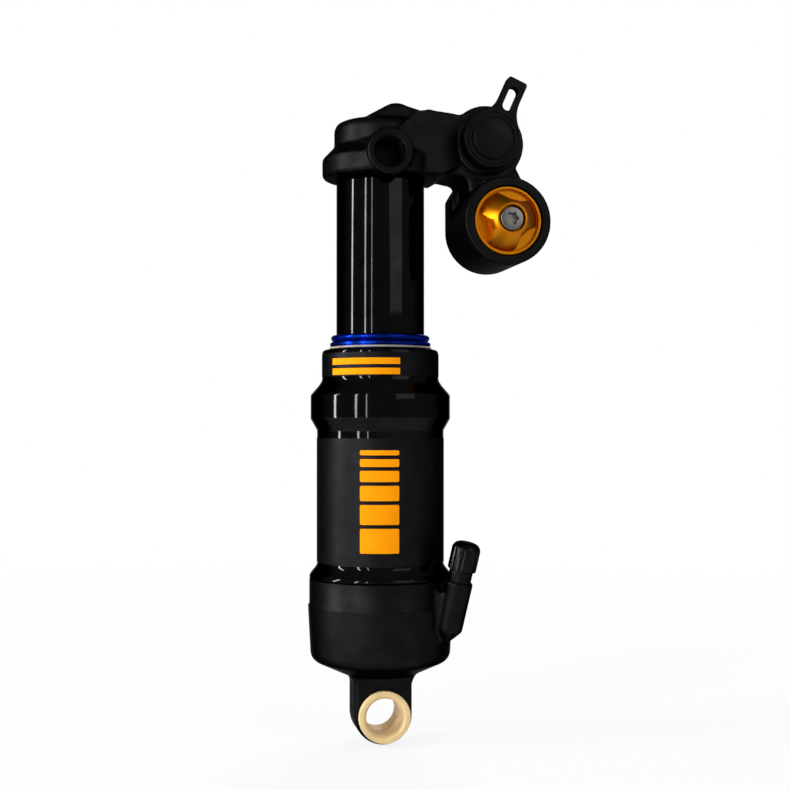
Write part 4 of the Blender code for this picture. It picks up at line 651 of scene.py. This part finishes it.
# %% [markdown]
# A screw with a six-lobed socket holds the dial. The wavy outline that makes the ribs of the valve cap makes
# the lobes as well.

# %% Turn the dial screw and sink its socket
LOBES = 6
screw_side = [(0, 10), (1.9, 10), (1.9, 21.5), (3.85, 21.5), (3.85, 23.9), (0, 23.9)]
screw = spun("dial_bolt", screw_side, RESERVOIR, edge=0.35)
cut(screw, extruded("lobes", wavy(1.95, 0.32, LOBES, LOBES * 12), 21.8, 25, RESERVOIR))
dress(screw, screw_steel, "dial", "steel", "dial_screw")

# %% [markdown]
# ## Pieces that stay as the CAD has them
# Seals, shims, pistons and the rod are right as they are. They only take a finish, by the record's own slots.

# %% Finish the carried-over nodes
BY_SLOT = {
    "black_anodised": satin_black,
    "black_gloss": gloss_black,
    "black_plastic": moulded_black,
    "black_rubber": rubber_black,
    "blue_seal": seal_blue,
    "gold_anodised": gold,
    "cream_polymer": polymer_cream,
    "pale_ring": ring_pale,
    "steel": steel,
    "bare_aluminium": aluminium,
    "brass": brass,
}
for part in frame["record"]["subparts"]:
    node = frame["nodes"][part["node"]]
    node.data.materials.clear()
    node.data.materials.append(BY_SLOT[part["material_slot"]])

# %% [markdown]
# ## Stage
# The photograph has a white ground. A floor that is only lit would come out grey, so this one shines white
# towards the camera. Near the object a share of it is still lit in the usual way, and keeps the shadow.

# %% Floor
FLOOR_REACH = 3  # metres each way
FLOOR_GAP = 0.5 * MM
GLOW_NEAR = 0.85
GLOW_FULL_AT = 0.7  # metres
grid = bmesh.new()
bmesh.ops.create_grid(grid, x_segments=8, y_segments=8, size=FLOOR_REACH)
floor = to_piece("floor", grid, Matrix.Translation((0, 0, cad_box[0][2] - FLOOR_GAP)))
pale = finish("pale_floor", (0.9, 0.9, 0.9), roughness=0.8, grain=3, height=0.01, tone=0.01)
floor.data.materials.append(pale)


def seen_rays(nodes, links):
    """1 for rays that the camera sends out, straight or through a clear piece, else 0."""
    path = nodes.new("ShaderNodeLightPath")
    either = nodes.new("ShaderNodeMath")
    either.operation = "MAXIMUM"
    links.new(path.outputs["Is Camera Ray"], either.inputs[0])
    links.new(path.outputs["Is Transmission Ray"], either.inputs[1])
    return either.outputs[0]


def add_glow(material):
    """Mix in a white glow for the camera, whose share grows with the distance from the object."""
    nodes = material.node_tree.nodes
    links = material.node_tree.links
    glow = nodes.new("ShaderNodeEmission")
    reach = nodes.new("ShaderNodeVectorMath")
    reach.operation = "LENGTH"
    fade = nodes.new("ShaderNodeMapRange")
    fade.interpolation_type = "SMOOTHSTEP"
    fade.inputs["From Max"].default_value = GLOW_FULL_AT
    fade.inputs["To Min"].default_value = GLOW_NEAR
    share = nodes.new("ShaderNodeMath")
    share.operation = "MULTIPLY"
    blend = nodes.new("ShaderNodeMixShader")
    links.new(nodes["Texture Coordinate"].outputs["Object"], reach.inputs[0])
    links.new(reach.outputs["Value"], fade.inputs["Value"])
    links.new(fade.outputs["Result"], share.inputs[1])
    links.new(seen_rays(nodes, links), share.inputs[0])
    links.new(share.outputs[0], blend.inputs["Fac"])
    links.new(nodes["Principled BSDF"].outputs["BSDF"], blend.inputs[1])
    links.new(glow.outputs["Emission"], blend.inputs[2])
    links.new(blend.outputs["Shader"], nodes["Material Output"].inputs["Surface"])


add_glow(pale)
print("floor at", round((cad_box[0][2] - FLOOR_GAP) / MM, 1), "mm")

# %% [markdown]
# The world is white to the camera and dimmer as a lamp, so that the blacks stay black.

# %% World
WORLD_LIGHT = 0.3
world = bpy.data.worlds.new("studio")
bpy.context.scene.world = world
world.use_nodes = True
world_nodes = world.node_tree.nodes
world_links = world.node_tree.links
level = world_nodes.new("ShaderNodeMapRange")
level.inputs["To Min"].default_value = WORLD_LIGHT
level.inputs["To Max"].default_value = 1.0
world_links.new(seen_rays(world_nodes, world_links), level.inputs["Value"])
world_links.new(level.outputs["Result"], world_nodes["Background"].inputs["Strength"])
world_nodes["Background"].inputs["Color"].default_value = (1, 1, 1, 1)
print("world lights at", WORLD_LIGHT)

# %% [markdown]
# ## Light
# The photograph is lit from the left. Three tall narrow lamps there draw the strips along the tube, because a
# polished tube shows each lamp as a line. Two wide soft ones keep the right side and the back readable.

# %% Lamps
# Each row is a name, a place, a width and a height in metres, and a power in watts.
LAMPS = (
    ("key_left", (-0.8, -0.03, 0.2), 0.055, 0.8, 7),
    ("second_left", (-0.6, -0.52, 0.2), 0.045, 0.7, 3.4),
    ("third_left", (-0.42, -0.68, 0.2), 0.02, 0.7, 1.2),
    ("fill_right", (0.5, -0.8, 0.5), 0.6, 0.6, 1.5),
    ("rear_soft", (0.35, 0.7, 0.75), 0.6, 0.6, 5),
)
TARGET = Vector((0.01, 0, 0.1))  # metres
for name, place, width, tall, power in LAMPS:
    light = bpy.data.lights.new(name, "AREA")
    light.shape = "RECTANGLE"
    light.size = width
    light.size_y = tall
    light.energy = power
    holder = bpy.data.objects.new(name, light)
    bpy.context.scene.collection.objects.link(holder)
    holder.location = place
    holder.rotation_euler = (TARGET - Vector(place)).to_track_quat("-Z", "Y").to_euler()
print("lamps", len(LAMPS))

# %% [markdown]
# ## Camera
# The camera stands where the photograph was taken from, level and a little to the left. The shift moves the
# picture in its frame without tilting the camera, so upright edges stay upright.

# %% Camera
AZIMUTH = math.radians(10.3)
PICTURE_SIDE = 790  # pixels
PICTURE_SHIFT = 30.7  # pixels
NEAREST = 0.01  # metres
camera = bpy.data.objects.new("camera", bpy.data.cameras.new("camera"))
bpy.context.scene.collection.objects.link(camera)
camera.location = (-76.5 * MM, -448.6 * MM, 96.3 * MM)
camera.rotation_euler = (math.pi / 2, 0, -AZIMUTH)
camera.data.lens = 61.63
camera.data.sensor_width = 36
camera.data.shift_y = PICTURE_SHIFT / PICTURE_SIDE
camera.data.clip_start = NEAREST
bpy.context.scene.camera = camera
bpy.context.scene.view_settings.view_transform = "Standard"
print("camera lens", round(camera.data.lens, 2), "mm")
